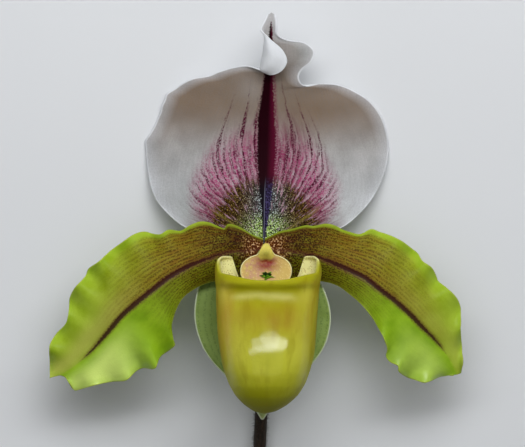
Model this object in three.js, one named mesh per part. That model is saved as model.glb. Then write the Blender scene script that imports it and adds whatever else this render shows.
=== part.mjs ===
// A slipper orchid bloom (Paphiopedilum), cut with a length of its scape and laid face up.
//
// Units are millimetres. The part's frame has +Z up and its origin on the surface that the bloom
// lies on, under the middle of its outline. +Y points from the cut stem to the dorsal sepal's tip.
//
// The flower's own organs are shaped in a face frame: x to the viewer's right, y up the dorsal
// sepal and z out of the face, from the point where they all meet. That frame leans by faceLean
// and stands at faceHeight, so that the sepal's two reflexed lobes and the cut end of the scape
// are the three places that touch the surface.
import * as THREE from "three";

const { clamp, degToRad, lerp, smoothstep } = THREE.MathUtils;

const faceLean = degToRad(12);
const faceHeight = 19.2;
const outlineShift = new THREE.Vector3(2.1, 31.6, 0); // brings the outline's middle over the origin

const sepalThickness = 0.8;
const petalThickness = 0.9;
const lipThickness = 1.0;
const bractThickness = 0.7;
const shieldThickness = 0.9;
const scapeRadius = 1.6;
const ovaryRadius = 2.9;

const finishes = {
  dorsal: new THREE.MeshStandardMaterial({ color: 0xe4e0dc, roughness: 0.55, metalness: 0 }),
  synsepal: new THREE.MeshStandardMaterial({ color: 0x9db583, roughness: 0.55, metalness: 0 }),
  petal: new THREE.MeshStandardMaterial({ color: 0x8fa52c, roughness: 0.4, metalness: 0 }),
  lip: new THREE.MeshStandardMaterial({ color: 0xb2ac35, roughness: 0.3, metalness: 0 }),
  staminode: new THREE.MeshStandardMaterial({ color: 0xd8a184, roughness: 0.45, metalness: 0 }),
  column: new THREE.MeshStandardMaterial({ color: 0xb9c06a, roughness: 0.5, metalness: 0 }),
  anther: new THREE.MeshStandardMaterial({ color: 0xd8b64a, roughness: 0.5, metalness: 0 }),
  ovary: new THREE.MeshStandardMaterial({ color: 0x6d6a3c, roughness: 0.7, metalness: 0 }),
  bract: new THREE.MeshStandardMaterial({ color: 0x7f9a4e, roughness: 0.55, metalness: 0 }),
  scape: new THREE.MeshStandardMaterial({ color: 0x5b4438, roughness: 0.75, metalness: 0 }),
};

// ---------------------------------------------------------------- curves and closed skins

const range = (count) => [...Array(count).keys()];

/** A smooth curve through points that are given as [x, y, z]. */
function curveThrough(points) {
  return new THREE.CatmullRomCurve3(points.map((point) => new THREE.Vector3(...point)));
}

/** The stretch of a curve between two shares of its length, as a curve of its own. */
function stretch(whole, from, to, count = 24) {
  const points = range(count + 1).map((i) => whole.getPointAt(lerp(from, to, i / count)));
  return new THREE.CatmullRomCurve3(points);
}

/** A curve's mean over a window of its length, which keeps its sweep and drops its ripples. */
function calmPoint(curve, share, window, samples = 9) {
  const reach = Math.min(window, share, 1 - share);
  const total = new THREE.Vector3();
  for (const i of range(samples)) {
    total.add(curve.getPointAt(share + reach * ((2 * i) / (samples - 1) - 1)));
  }
  return total.divideScalar(samples);
}

/** A hill of height 1 round centre, which falls off over width. */
const hill = (value, centre, width) => Math.exp(-(((value - centre) / width) ** 2));

function geometryOf(points, triangles) {
  const positions = points.flatMap((point) => point.toArray());
  const geometry = new THREE.BufferGeometry();
  geometry.setAttribute("position", new THREE.Float32BufferAttribute(positions, 3));
  geometry.setIndex(triangles.flat());
  geometry.computeVertexNormals();
  return geometry;
}

/**
 * A closed blade of one thickness round surface(u, v), with u from -1 to 1 and v from 0 to 1.
 * Both faces are split into triangles alike, and a strip of faces closes the edge.
 */
function blade(surface, across, along, thickness) {
  const step = 1e-3;
  const points = [];
  const face = (side) =>
    range(along + 1).map((j) =>
      range(across + 1).map((i) => {
        const [u, v] = [(2 * i) / across - 1, j / along];
        const alongU = surface(Math.min(u + step, 1), v).sub(surface(Math.max(u - step, -1), v));
        const alongV = surface(u, Math.min(v + step, 1)).sub(surface(u, Math.max(v - step, 0)));
        const normal = alongU.cross(alongV).normalize();
        return points.push(surface(u, v).addScaledVector(normal, (side * thickness) / 2)) - 1;
      }),
    );
  const [front, back] = [face(1), face(-1)];
  const triangles = [];
  for (const j of range(along)) {
    for (const i of range(across)) {
      const corners = (rows) => [rows[j][i], rows[j][i + 1], rows[j + 1][i + 1], rows[j + 1][i]];
      const [a, b, c, d] = corners(front);
      const [e, f, g, h] = corners(back);
      triangles.push([a, b, c], [a, c, d], [e, g, f], [e, h, g]);
    }
  }
  const edge = [
    ...range(across).map((i) => [0, i]),
    ...range(along).map((j) => [j, across]),
    ...range(across).map((i) => [along, across - i]),
    ...range(along).map((j) => [along - j, 0]),
  ];
  edge.forEach(([j, i], k) => {
    const [nextJ, nextI] = edge[(k + 1) % edge.length];
    const [a, b, c, d] = [front[j][i], front[nextJ][nextI], back[nextJ][nextI], back[j][i]];
    triangles.push([a, d, c], [a, c, b]);
  });
  return geometryOf(points, triangles);
}

/** A closed skin over rings of equally many points, from a first pole to a last one. */
function skin(firstPole, rings, lastPole) {
  const points = [firstPole, ...rings.flat(), lastPole];
  const count = rings[0].length;
  const index = (ring, i) => 1 + ring * count + (i % count);
  const triangles = [];
  for (const i of range(count)) {
    triangles.push([0, index(0, i + 1), index(0, i)]);
    for (const r of range(rings.length - 1)) {
      const [a, b, c, d] = [index(r, i), index(r, i + 1), index(r + 1, i + 1), index(r + 1, i)];
      triangles.push([a, b, c], [a, c, d]);
    }
    triangles.push([points.length - 1, index(rings.length - 1, i), index(rings.length - 1, i + 1)]);
  }
  return geometryOf(points, triangles);
}

/** A closed rod along a curve, whose radius is radiusAt(share of its length, angle round it). */
function rod(path, radiusAt, sides, steps) {
  const centres = range(steps + 1).map((i) => path.getPointAt(i / steps));
  const rings = centres.map((centre, i) => {
    const ahead = path.getTangentAt(i / steps);
    const side = new THREE.Vector3(1, 0, 0).addScaledVector(ahead, -ahead.x).normalize();
    const up = side.clone().cross(ahead);
    return range(sides).map((k) => {
      const angle = (2 * Math.PI * k) / sides;
      const radius = radiusAt(i / steps, angle);
      const outward = side.clone().multiplyScalar(Math.cos(angle)).addScaledVector(up, -Math.sin(angle));
      return centre.clone().addScaledVector(outward, radius);
    });
  });
  return skin(centres[0], rings, centres[steps]);
}

// ---------------------------------------------------------------- petals and lower sepals

/**
 * One half of a petal or sepal: s runs from its midvein (0) to its margin (1). The margin's
 * calm sweep shapes the whole half, its waves fade away inwards, and curl bends it backwards.
 */
function halfBlade(midvein, margin, ripple, curl, window) {
  return (s, v) => {
    const [middle, edge] = [midvein.getPointAt(v), margin.getPointAt(v)];
    const sweep = calmPoint(margin, v, window);
    const point = middle.clone().lerp(sweep, s);
    point.z = lerp(middle.z, sweep.z, s ** curl) + ripple(v) * s ** 3;
    return point.addScaledVector(edge.sub(sweep), s ** 4);
  };
}

/** A frill's height: so many waves along the margin, growing out of nothing from start on. */
function frill({ waves, phase, height, start, growth = 0.3 }) {
  return (v) => {
    const grown = smoothstep(v, start, start + growth);
    return height * grown * Math.sin(2 * Math.PI * (waves * v + phase));
  };
}

const petalCurl = 1.5;
const petalCalm = 0.09; // share of the margin's length that its sweep is averaged over

function petal({ midvein, upper, lower, upperFrill, lowerFrill }, across, along) {
  const middle = curveThrough(midvein);
  const top = halfBlade(middle, curveThrough(upper), frill(upperFrill), petalCurl, petalCalm);
  const bottom = halfBlade(middle, curveThrough(lower), frill(lowerFrill), petalCurl, petalCalm);
  const surface = (u, v) => (u < 0 ? top(-u, v) : bottom(u, v));
  return blade(surface, across, along, petalThickness);
}

// Each petal from its base to its blunt, notched tip: the midvein and the two waved margins.
const petalLeft = {
  midvein: [
    [-0.2, -1.7, -0.95], [-4.1, -1.8, -0.6], [-8.0, -2.1, -0.2], [-11.8, -3.1, 0.2], [-15.7, -4.5, 0.6],
    [-19.5, -6.2, 0.8], [-23.4, -8.5, 0.8], [-27.3, -11.6, 0.4], [-31.2, -14.7, -0.4], [-35.1, -18.3, -1.8],
    [-39.1, -23.0, -4.0], [-42.4, -26.6, -5.8], [-46.6, -30.3, -7.4], [-50.2, -32.6, -8.8],
  ],
  upper: [
    [-0.2, 1.1, -0.95], [-2.9, 2.1, -1.1], [-6.4, 4.1, -1.4], [-8.8, 4.6, -1.2], [-9.6, 3.5, -1.8],
    [-11.4, 4.1, -1.9], [-13.4, 5.0, -1.6], [-15.7, 5.2, -1.5], [-18.0, 4.3, -1.9], [-20.4, 2.9, -2.2],
    [-23.3, 3.2, -1.6], [-25.4, 2.1, -2.2], [-29.5, 2.7, -2.1], [-31.7, 2.1, -2.4], [-34.4, 0.3, -2.6],
    [-37.6, -2.0, -3.0], [-40.3, -4.5, -3.4], [-42.9, -6.3, -4.0], [-43.8, -8.2, -4.2], [-46.4, -11.2, -5.0],
    [-47.6, -13.5, -5.6], [-47.9, -16.9, -6.2], [-48.5, -19.6, -7.0], [-51.1, -22.4, -7.8],
    [-52.5, -24.8, -8.4], [-52.8, -28.7, -9.2], [-52.7, -33.3, -10.0],
  ],
  lower: [
    [-0.2, -5.0, -1.0], [-4.6, -7.9, -1.2], [-8.3, -9.3, -1.4], [-12.0, -9.3, -1.2], [-15.3, -10.3, -0.8],
    [-17.3, -11.4, -0.4], [-19.6, -13.2, 0.0], [-21.5, -16.7, -0.2], [-22.5, -20.6, -1.0],
    [-22.2, -22.9, -1.4], [-21.7, -24.9, -1.8], [-22.7, -25.9, -2.4], [-25.1, -27.6, -3.2],
    [-25.7, -28.5, -3.6], [-26.5, -30.6, -4.0], [-29.8, -30.7, -4.8], [-31.4, -31.5, -5.2],
    [-33.6, -33.6, -5.6], [-37.3, -34.1, -6.4], [-41.3, -34.9, -7.2], [-45.2, -36.1, -8.0],
    [-46.8, -36.3, -8.6], [-47.7, -34.6, -9.0], [-48.7, -32.9, -9.2],
  ],
  upperFrill: { waves: 9, phase: 0.15, height: 0.9, start: 0.08 },
  lowerFrill: { waves: 8, phase: 0.4, height: 1.0, start: 0.35 },
};

const petalRight = {
  midvein: [
    [0.2, -1.7, -0.95], [4.3, -1.7, -0.6], [9.0, -2.4, 0.0], [13.5, -3.5, 0.6], [17.2, -5.0, 0.9],
    [20.9, -6.6, 1.0], [24.6, -8.5, 0.8], [27.6, -10.9, 0.4], [31.4, -13.7, -0.6], [35.2, -17.1, -1.8],
    [39.0, -20.9, -3.6], [42.1, -24.0, -5.2], [44.8, -27.4, -7.0], [47.6, -32.4, -9.0],
  ],
  upper: [
    [0.2, 1.1, -0.95], [3.9, 2.8, -1.2], [6.8, 3.4, -1.4], [10.2, 4.3, -1.1], [12.1, 4.1, -1.5],
    [15.0, 4.7, -1.4], [16.9, 4.4, -1.7], [19.2, 3.2, -2.1], [21.0, 2.6, -2.0], [23.3, 2.1, -2.2],
    [26.2, 3.4, -1.8], [28.1, 2.7, -2.1], [31.1, 1.7, -2.4], [33.7, 0.4, -2.6], [36.0, -1.3, -2.9],
    [37.8, -2.8, -3.3], [38.6, -4.3, -3.5], [40.9, -6.0, -3.5], [42.0, -7.8, -3.9], [42.6, -9.3, -4.3],
    [44.7, -11.0, -4.5], [46.9, -13.1, -5.0], [48.1, -15.4, -5.6], [48.3, -17.3, -6.0], [48.2, -21.4, -7.0],
    [48.7, -25.6, -7.8], [48.8, -30.2, -9.2], [48.5, -32.1, -9.8],
  ],
  lower: [
    [0.2, -5.0, -1.0], [4.4, -7.9, -1.2], [8.8, -9.3, -1.4], [14.1, -9.3, -1.0], [18.0, -10.4, -0.4],
    [21.0, -12.6, 0.0], [23.2, -14.5, 0.2], [25.8, -17.5, -0.2], [27.7, -20.4, -0.6], [29.4, -23.8, -1.3],
    [30.1, -26.1, -1.8], [29.8, -27.8, -2.4], [30.8, -29.1, -3.0], [32.7, -30.1, -3.6], [32.9, -31.4, -4.0],
    [34.7, -32.8, -4.8], [36.9, -33.6, -5.4], [39.5, -34.2, -6.2], [43.4, -32.9, -7.6], [46.5, -32.6, -9.0],
  ],
  upperFrill: { waves: 8, phase: 0.55, height: 0.9, start: 0.08 },
  lowerFrill: { waves: 7, phase: 0.1, height: 1.0, start: 0.35 },
};

/** The two lower sepals, grown together into one cupped blade behind the lip. */
const synsepal = {
  midvein: [
    [0.0, -3.1, -2.1], [0.0, -6.0, -3.2], [0.0, -10.5, -4.6], [0.1, -16.0, -5.3], [0.2, -24.0, -5.6],
    [0.0, -32.0, -4.4], [-0.2, -38.5, -2.6], [-0.4, -43.0, -1.0],
  ],
  left: [
    [-2.6, -2.7, -2.4], [-10.5, -4.6, -4.2], [-15.0, -8.6, -3.8], [-16.8, -14.4, -3.2], [-16.8, -19.6, -3.2],
    [-15.0, -25.4, -3.2], [-12.3, -29.4, -3.1], [-8.8, -32.9, -2.8], [-5.2, -36.8, -2.0],
    [-2.5, -40.0, -1.4], [-0.7, -42.8, -0.9],
  ],
  right: [
    [2.6, -2.7, -2.4], [9.6, -4.6, -4.2], [13.5, -9.2, -3.8], [15.7, -14.2, -3.2], [16.3, -19.2, -3.2],
    [14.9, -25.0, -3.2], [11.8, -29.5, -3.1], [8.4, -33.1, -2.6], [4.7, -36.8, -1.9], [1.8, -40.0, -1.4],
    [-0.1, -42.8, -0.9],
  ],
};

const synsepalCurl = 1.8;
const synsepalCalm = 0.02;

function lowerSepals(across, along) {
  const still = () => 0; // its margins have no frill
  const middle = curveThrough(synsepal.midvein);
  const left = halfBlade(middle, curveThrough(synsepal.left), still, synsepalCurl, synsepalCalm);
  const right = halfBlade(middle, curveThrough(synsepal.right), still, synsepalCurl, synsepalCalm);
  const surface = (u, v) => (u < 0 ? right(-u, v) : left(u, v));
  return blade(surface, across, along, sepalThickness);
}

// ---------------------------------------------------------------- dorsal sepal

/**
 * Rows from the base to the rolled tip: left margin, midvein and right margin. Near the tip the
 * left margin rolls forward over the midvein, and roll gives the two points that the row's left
 * half passes on its way, first behind and then in front.
 */
const dorsalRows = [
  { left: [-3.2, 0.3, -2.3], mid: [0.1, -0.5, -2.1], right: [3.2, 0.3, -2.3] },
  { left: [-11.2, 1.6, -4.6], mid: [0.1, 2.2, -2.6], right: [11.3, 1.6, -4.6] },
  { left: [-18.9, 3.5, -8.2], mid: [0.2, 5.2, -3.3], right: [19.1, 3.7, -8.2] },
  { left: [-23.4, 6.8, -11.0], mid: [0.2, 8.4, -3.9], right: [23.3, 6.9, -10.9] },
  { left: [-26.9, 11.0, -13.0], mid: [0.3, 12.0, -4.5], right: [27.0, 11.2, -12.8] },
  { left: [-28.7, 17.0, -14.3], mid: [0.5, 16.2, -5.0], right: [29.9, 17.3, -14.2] },
  { left: [-29.1, 24.6, -14.1], mid: [0.7, 20.6, -5.1], right: [31.0, 23.6, -14.6] },
  { left: [-26.8, 29.6, -13.0], mid: [0.8, 24.6, -4.9], right: [29.5, 30.4, -13.4] },
  { left: [-25.1, 34.2, -11.7], mid: [0.9, 28.2, -4.3], right: [26.3, 34.8, -11.4] },
  { left: [-21.9, 38.0, -10.3], mid: [1.0, 31.4, -3.6], right: [22.3, 37.3, -9.6] },
  { left: [-17.7, 40.3, -8.3], mid: [1.1, 34.1, -2.8], right: [18.2, 38.8, -7.4] },
  { left: [-13.3, 41.0, -6.3], mid: [1.2, 36.4, -2.0], right: [14.2, 38.9, -5.4] },
  {
    left: [-8.6, 42.6, -3.8], mid: [1.3, 38.4, -1.2], right: [10.7, 38.0, -3.6],
    roll: [[-1.4, 39.6, -1.6], [-4.6, 41.4, -2.2]],
  },
  {
    left: [-4.4, 43.1, -1.2], mid: [1.4, 40.2, -0.6], right: [9.0, 38.6, -2.4],
    roll: [[-0.4, 41.2, -0.8], [-2.4, 42.3, -0.9]],
  },
  {
    left: [-1.3, 42.1, 1.4], mid: [1.5, 41.7, 0.0], right: [8.2, 40.6, -1.3],
    roll: [[-0.1, 42.0, 0.0], [-1.1, 42.2, 0.6]],
  },
  {
    left: [1.7, 40.7, 3.2], mid: [1.5, 43.0, 0.4], right: [9.0, 42.4, -0.7],
    roll: [[-0.3, 42.9, 0.9], [-0.4, 41.9, 2.9]],
  },
  {
    left: [4.3, 41.6, 4.4], mid: [1.5, 44.3, 0.8], right: [11.3, 44.3, -0.2],
    roll: [[-0.3, 44.3, 1.6], [0.8, 43.1, 4.4]],
  },
  {
    left: [5.6, 43.9, 5.0], mid: [1.5, 45.7, 1.2], right: [11.9, 46.5, 0.0],
    roll: [[0.0, 45.7, 2.1], [1.4, 44.9, 5.0]],
  },
  {
    left: [4.6, 46.4, 5.0], mid: [1.6, 47.3, 1.6], right: [10.2, 48.5, 0.6],
    roll: [[0.2, 47.2, 2.5], [1.3, 46.8, 5.0]],
  },
  {
    left: [2.2, 48.7, 4.6], mid: [1.6, 49.1, 2.0], right: [5.6, 49.2, 2.2],
    roll: [[0.4, 49.0, 2.8], [0.8, 48.8, 4.5]],
  },
  {
    left: [0.4, 50.3, 4.3], mid: [1.7, 50.9, 2.3], right: [3.3, 50.4, 3.1],
    roll: [[0.4, 50.6, 2.8], [0.0, 50.4, 3.8]],
  },
  {
    left: [-0.4, 51.5, 3.9], mid: [1.7, 52.4, 2.5], right: [2.7, 52.1, 3.5],
    roll: [[0.9, 52.1, 2.8], [0.1, 51.8, 3.4]],
  },
  {
    left: [0.8, 53.7, 3.4], mid: [1.7, 54.0, 2.6], right: [2.4, 53.8, 3.3],
    roll: [[1.4, 53.9, 2.8], [1.1, 53.8, 3.1]],
  },
  {
    left: [1.4, 55.2, 2.9], mid: [1.7, 55.5, 2.7], right: [2.0, 55.2, 2.9],
    roll: [[1.6, 55.4, 2.7], [1.5, 55.3, 2.8]],
  },
];
const dorsalCurl = 1.6; // above 1, the sides bend back more and more towards their margins

function dorsalSurface() {
  const between = (mid, margin, s) => [
    lerp(mid[0], margin[0], s), lerp(mid[1], margin[1], s), lerp(mid[2], margin[2], s ** dorsalCurl),
  ];
  const thirds = (mid, margin) => [between(mid, margin, 1 / 3), between(mid, margin, 2 / 3)];
  const net = dorsalRows.map(({ left, mid, right, roll = thirds(mid, left) }) => {
    const [inner, outer] = roll;
    return [left, outer, inner, mid, ...thirds(mid, right), right];
  });
  const columns = net[0].map((_, k) => curveThrough(net.map((row) => row[k])));
  return (u, v) => {
    const row = new THREE.CatmullRomCurve3(columns.map((column) => column.getPoint(v)));
    return row.getPoint((u + 1) / 2);
  };
}

/** Presses what would reach below the surface up to it, which leaves small flat spots. */
function restOnSurface(geometry) {
  const up = new THREE.Vector3(0, -Math.sin(faceLean), Math.cos(faceLean));
  const place = geometry.getAttribute("position");
  const point = new THREE.Vector3();
  for (const i of range(place.count)) {
    point.fromBufferAttribute(place, i);
    const height = point.dot(up) + faceHeight;
    if (height < 0) place.setXYZ(i, ...point.addScaledVector(up, -height).toArray());
  }
  return geometry;
}

// ---------------------------------------------------------------- lip

/** Levels down the pouch's outside: height, half width, front, back and sideways shift. */
const lipLevels = [
  [-3.0, 10.4, 15.6, 6.0, 1.0],
  [-3.9, 12.0, 16.8, 3.6, 1.0],
  [-5.4, 12.7, 18.4, 2.2, 1.0],
  [-7.4, 12.8, 20.0, 2.2, 1.0],
  [-9.4, 12.6, 20.8, 2.4, 0.9],
  [-11.4, 12.4, 19.6, 2.5, 0.9],
  [-13.6, 12.3, 20.6, 2.7, 0.8],
  [-17.8, 12.0, 22.2, 3.0, 0.7],
  [-22.0, 11.7, 24.2, 3.4, 0.7],
  [-26.2, 11.2, 25.7, 4.0, 0.8],
  [-30.2, 10.3, 26.0, 5.0, 0.7],
  [-33.4, 9.1, 24.8, 6.4, 0.7],
  [-36.2, 7.4, 22.4, 8.0, 0.6],
  [-38.5, 5.0, 19.4, 9.8, 0.4],
  [-40.0, 2.5, 16.6, 11.6, 0.2],
  [-40.6, 0.0, 14.2, 14.2, 0.1],
];
const lipPlace = curveThrough(lipLevels.map(([y, , , , shift]) => [shift, y, 0]));
const lipReach = curveThrough(lipLevels.map(([, half, front, back]) => [half, front, back]));
const lipFullness = 0.87; // 1 gives oval levels, and less gives fuller corners
const lipWidest = 0.42; // where the pouch is widest, as a share from its back to its front

/**
 * The rim's height round the mouth, by the angle from the front in degrees: low in front, an ear
 * at each side and the claw behind. The skin has one column of faces at each of these angles.
 */
const lipRim = [
  [0, -9.0], [13, -8.8], [25, -8.2], [36, -7.4], [46, -6.9], [52, -6.7], [56, -5.4], [60, -4.0],
  [66, -3.5], [77, -3.3], [90, -3.2], [103, -3.1], [116, -3.1], [127, -3.2], [134, -3.5], [140, -4.4],
  [144, -6.2], [148, -8.0], [154, -9.2], [162, -8.6], [171, -6.0], [180, -4.9],
];
const lipAngles = [...lipRim, ...lipRim.slice(1, -1).map(([angle, y]) => [-angle, y]).reverse()];

/** How far down the levels the rim at height y lies, found by halving the stretch it lies in. */
function lipStart(y) {
  const smallest = 1e-6;
  let above = 0;
  for (let size = 0.5; size > smallest; size /= 2) {
    if (lipPlace.getPoint(above + size).y > y) above += size;
  }
  return above;
}

function lipPoint(degrees, level) {
  const place = lipPlace.getPoint(level);
  const { x: half, y: front, z: back } = lipReach.getPoint(level);
  const full = (value) => Math.sign(value) * Math.abs(value) ** lipFullness;
  const angle = degToRad(degrees);
  const widest = lerp(back, front, lipWidest);
  const depth = Math.cos(angle) > 0 ? front - widest : widest - back;
  place.x += half * full(Math.sin(angle));
  place.z = widest + depth * full(Math.cos(angle));
  return place;
}

/** The pouch is a cup: its outer skin, then that skin again, moved in by the wall's thickness. */
function lip(down) {
  const turn = 3; // degrees and levels to each side, for the skin's direction at a point
  const drop = 0.03;
  const wall = (degrees, level) => {
    const [upper, lower] = [Math.max(level - drop, 0), Math.min(level + drop, 1)];
    const around = lipPoint(degrees + turn, level).sub(lipPoint(degrees - turn, level));
    const downwards = lipPoint(degrees, lower).sub(lipPoint(degrees, upper));
    const outer = lipPoint(degrees, level);
    const inward = around.cross(downwards).normalize();
    return { outer, inner: outer.clone().addScaledVector(inward, lipThickness) };
  };
  const columns = lipAngles.map(([degrees, rimHeight]) => {
    const rim = lipStart(rimHeight);
    return range(down).map((j) => wall(degrees, lerp(rim, 1, j / down)));
  });
  const rings = (side) => range(down).map((j) => columns.map((points) => points[j][side]));
  const toe = lipPoint(0, 1);
  const innerToe = toe.clone().setY(toe.y + lipThickness);
  return skin(toe, [...rings("outer").reverse(), ...rings("inner")], innerToe);
}

// ---------------------------------------------------------------- column and its organs

const shieldCentre = new THREE.Vector3(0.5, -6.7, 9.7); // of the staminode, before the column's end
const shieldHalfWidth = 6.2;
const shieldRise = 4.1; // from the centre up to the shoulders' top
const shieldDrop = 4.4; // and down to the lower edge
const shieldDome = 1.2;
const shieldHollow = 0.5; // how much of the front's relief the back follows
const knobHeight = 1.6; // of the knob at the shield's top, both upward and forward
const knobWidth = 1.9;
const knobLift = 0.2; // of its middle over the shoulders

/** A shield from rings round its centre, domed in front, with a knob above its middle. */
function staminode(around, ringCount) {
  const dome = (x) => shieldDome * (1 - (x / shieldHalfWidth) ** 2);
  const knob = (x, y) => knobHeight * hill(Math.hypot(x, y - shieldRise - knobLift), 0, knobWidth);
  const front = (x, y) => dome(x) + knob(x, y);
  const back = (x, y) => shieldHollow * (front(x, y) - shieldThickness) - shieldThickness;
  const ring = (share, height) =>
    range(around).map((i) => {
      const angle = (2 * Math.PI * i) / around;
      const x = shieldHalfWidth * Math.cos(angle);
      const upper = shieldRise * Math.sin(angle) + knobHeight * hill(x, 0, knobWidth);
      const y = angle < Math.PI ? upper : shieldDrop * Math.sin(angle);
      const place = new THREE.Vector3(share * x, share * y, height(share * x, share * y));
      return place.add(shieldCentre);
    });
  const rings = (height) => range(ringCount).map((i) => ring((i + 1) / ringCount, height));
  const middle = (height) => ring(0, height)[0];
  return skin(middle(back), [...rings(back), ...rings(front).reverse()], middle(front));
}

const columnPath = [[0.0, -2.8, -0.05], [0.0, -3.0, 2.6], [0.1, -3.7, 5.4], [0.3, -4.7, 7.9]];
const columnRadius = (t) => lerp(1.4, 2.0, smoothstep(t, 0, 0.7));
const stigmaPath = [[0.2, -6.9, 5.7], [0.2, -7.6, 5.9], [0.2, -8.3, 6.1], [0.2, -9.0, 6.3]];
const stigmaRadius = (t) => lerp(0.9, 2.1, smoothstep(t, 0.2, 0.7));

const antherRadii = [1.06, 1.25, 1.5];
const antherCentre = [0.2, -5.4, 6.4]; // between the two, in the column and behind the shield
const antherSpread = 3.35;

function anther(side) {
  const geometry = new THREE.SphereGeometry(1, 14, 10);
  geometry.scale(...antherRadii);
  geometry.translate(...antherCentre);
  geometry.translate(side * antherSpread, 0, 0);
  return geometry;
}

// ---------------------------------------------------------------- ovary, bract and scape

/** The stem's middle line from behind the flower to the cut, over the surface and not leaning. */
const stem = curveThrough([
  [0.0, -2.4, 16.55], [0.0, -2.8, 14.7], [-0.1, -8.4, 11.8], [-0.2, -16.0, 8.6], [-0.3, -25.0, 5.7],
  [-0.4, -34.0, 4.1], [-0.6, -45.0, 3.2], [-1.4, -62.0, 2.7], [-2.6, -82.0, 2.3], [-3.4, -100.0, 1.95],
  [-3.6, -118.0, scapeRadius],
]);
const ovaryEnd = 0.29; // share of the stem that is ovary
const scapeStart = ovaryEnd + 0.003;

const ovaryRibs = 6;
const ribHeight = 0.2;
const ovaryNeck = 1.7; // radius where the ovary meets the flower
const ovaryFoot = 1.75; // and where it meets the scape

/** The ovary's radius between its ribs: it swells from its neck and narrows to its foot. */
function ovaryCore(t) {
  const swell = lerp(ovaryNeck, ovaryRadius, smoothstep(t, 0.05, 0.5));
  return swell - (ovaryRadius - ovaryFoot) * smoothstep(t, 0.55, 1);
}

function ovary(sides, steps) {
  const ribs = (t, angle) => ribHeight * Math.sin(ovaryRibs * angle) * Math.sin(Math.PI * t);
  return rod(stretch(stem, 0, ovaryEnd), (t, angle) => ovaryCore(t) + ribs(t, angle), sides, steps);
}

/** The scape is a round rod whose cut end is square. Its section has twice as many sides. */
function scape(curveSegments, steps) {
  const section = new THREE.Shape().absarc(0, 0, scapeRadius, 0, 2 * Math.PI);
  const extrudePath = stretch(stem, scapeStart, 1);
  return new THREE.ExtrudeGeometry(section, { curveSegments, steps, extrudePath });
}

const bractFrom = 0.305; // shares of the stem that the bract's foot and tip lie at
const bractTo = 0.1;
const bractWrap = 2.2; // radians to each side of its fold, at the foot
const bractNarrowing = 0.3; // share of that wrap which is lost on the way to the tip
const bractTip = 0.97; // 1 would draw the tip to a point
const bractClearance = 0.3;
const bractFlare = 1.2; // how far the tip stands off

/** The bract is a folded leaf that springs from the scape's top and sheathes the ovary's foot. */
function bractSurface(u, v) {
  const share = lerp(bractFrom, bractTo, v);
  const ahead = stem.getTangentAt(share);
  const down = new THREE.Vector3(0, -ahead.z, ahead.y).normalize();
  const core = ovaryCore(clamp(share / ovaryEnd, 0, 1)) + ribHeight * smoothstep(v, 0, 0.3);
  const radius = core + bractClearance + bractThickness / 2 + bractFlare * v ** 2;
  const narrowed = (1 - bractNarrowing * v) * Math.sqrt(1 - (bractTip * v) ** 3);
  const angle = u * bractWrap * narrowed;
  const point = stem.getPointAt(share).addScaledVector(down, radius * Math.cos(angle));
  point.x += radius * Math.sin(angle);
  return point;
}

// ---------------------------------------------------------------- the assembly

function piece(name, geometry, finish) {
  const mesh = new THREE.Mesh(geometry, finish);
  mesh.name = name;
  return mesh;
}

const face = new THREE.Group();
face.rotation.x = -faceLean;
face.position.z = faceHeight;
face.add(
  piece("dorsal_sepal", restOnSurface(blade(dorsalSurface(), 18, 46, sepalThickness)), finishes.dorsal),
  piece("synsepal", lowerSepals(10, 18), finishes.synsepal),
  piece("petal_left", petal(petalLeft, 12, 40), finishes.petal),
  piece("petal_right", petal(petalRight, 12, 40), finishes.petal),
  piece("lip", lip(14), finishes.lip),
  piece("column", rod(curveThrough(columnPath), columnRadius, 14, 8), finishes.column),
  piece("staminode", staminode(28, 6), finishes.staminode),
  piece("stigma", rod(curveThrough(stigmaPath), stigmaRadius, 12, 6), finishes.column),
  piece("anther_left", anther(-1), finishes.anther),
  piece("anther_right", anther(1), finishes.anther),
);

const bloom = new THREE.Group();
bloom.position.copy(outlineShift);
bloom.add(
  face,
  piece("ovary", ovary(24, 14), finishes.ovary),
  piece("bract", blade(bractSurface, 14, 12, bractThickness), finishes.bract),
  piece("scape", scape(8, 16), finishes.scape),
);

const part = new THREE.Group();
part.add(bloom);
export default part;
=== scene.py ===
# %% [markdown]
# # A slipper orchid bloom
#
# This script dresses one cut bloom of a Paphiopedilum, which lies face up with a length of its
# scape. The solids that carry and collide come in as a fixed frame. Every visible organ is then
# remade from curves of the same size, fine enough to show frills, ears and ribs, and painted
# with node materials. Lengths are worked out in millimetres and written to Blender in metres.

# %% The frame
import math
import bpy
import mathutils
import numpy as np
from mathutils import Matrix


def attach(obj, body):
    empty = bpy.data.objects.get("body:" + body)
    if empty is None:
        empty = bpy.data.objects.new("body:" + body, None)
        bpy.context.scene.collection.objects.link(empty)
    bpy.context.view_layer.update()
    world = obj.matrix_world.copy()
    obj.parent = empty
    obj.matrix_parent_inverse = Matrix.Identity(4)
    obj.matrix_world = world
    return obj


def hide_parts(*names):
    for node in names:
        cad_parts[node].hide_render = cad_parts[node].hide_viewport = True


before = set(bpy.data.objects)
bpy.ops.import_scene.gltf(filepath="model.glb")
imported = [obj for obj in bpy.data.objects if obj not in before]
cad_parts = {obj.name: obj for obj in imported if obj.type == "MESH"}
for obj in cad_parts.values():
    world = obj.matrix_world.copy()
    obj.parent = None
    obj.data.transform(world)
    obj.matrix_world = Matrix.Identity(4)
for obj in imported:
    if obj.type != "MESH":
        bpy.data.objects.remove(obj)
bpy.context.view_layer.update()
print("nodes:", sorted(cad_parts))

# %% [markdown]
# ## Where the face points
#
# A flower is easiest to describe as its visitor meets it: x to the right, y up the dorsal sepal
# and z out of the face, from the point where all organs meet. The bloom lies on its two bent
# sepal lobes and its scape, so that face frame leans by 12 degrees and stands 19.2 mm high.
# One function turns face millimetres into Blender's metres, with the outline's middle over the
# origin, and everything goes through it.

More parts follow.
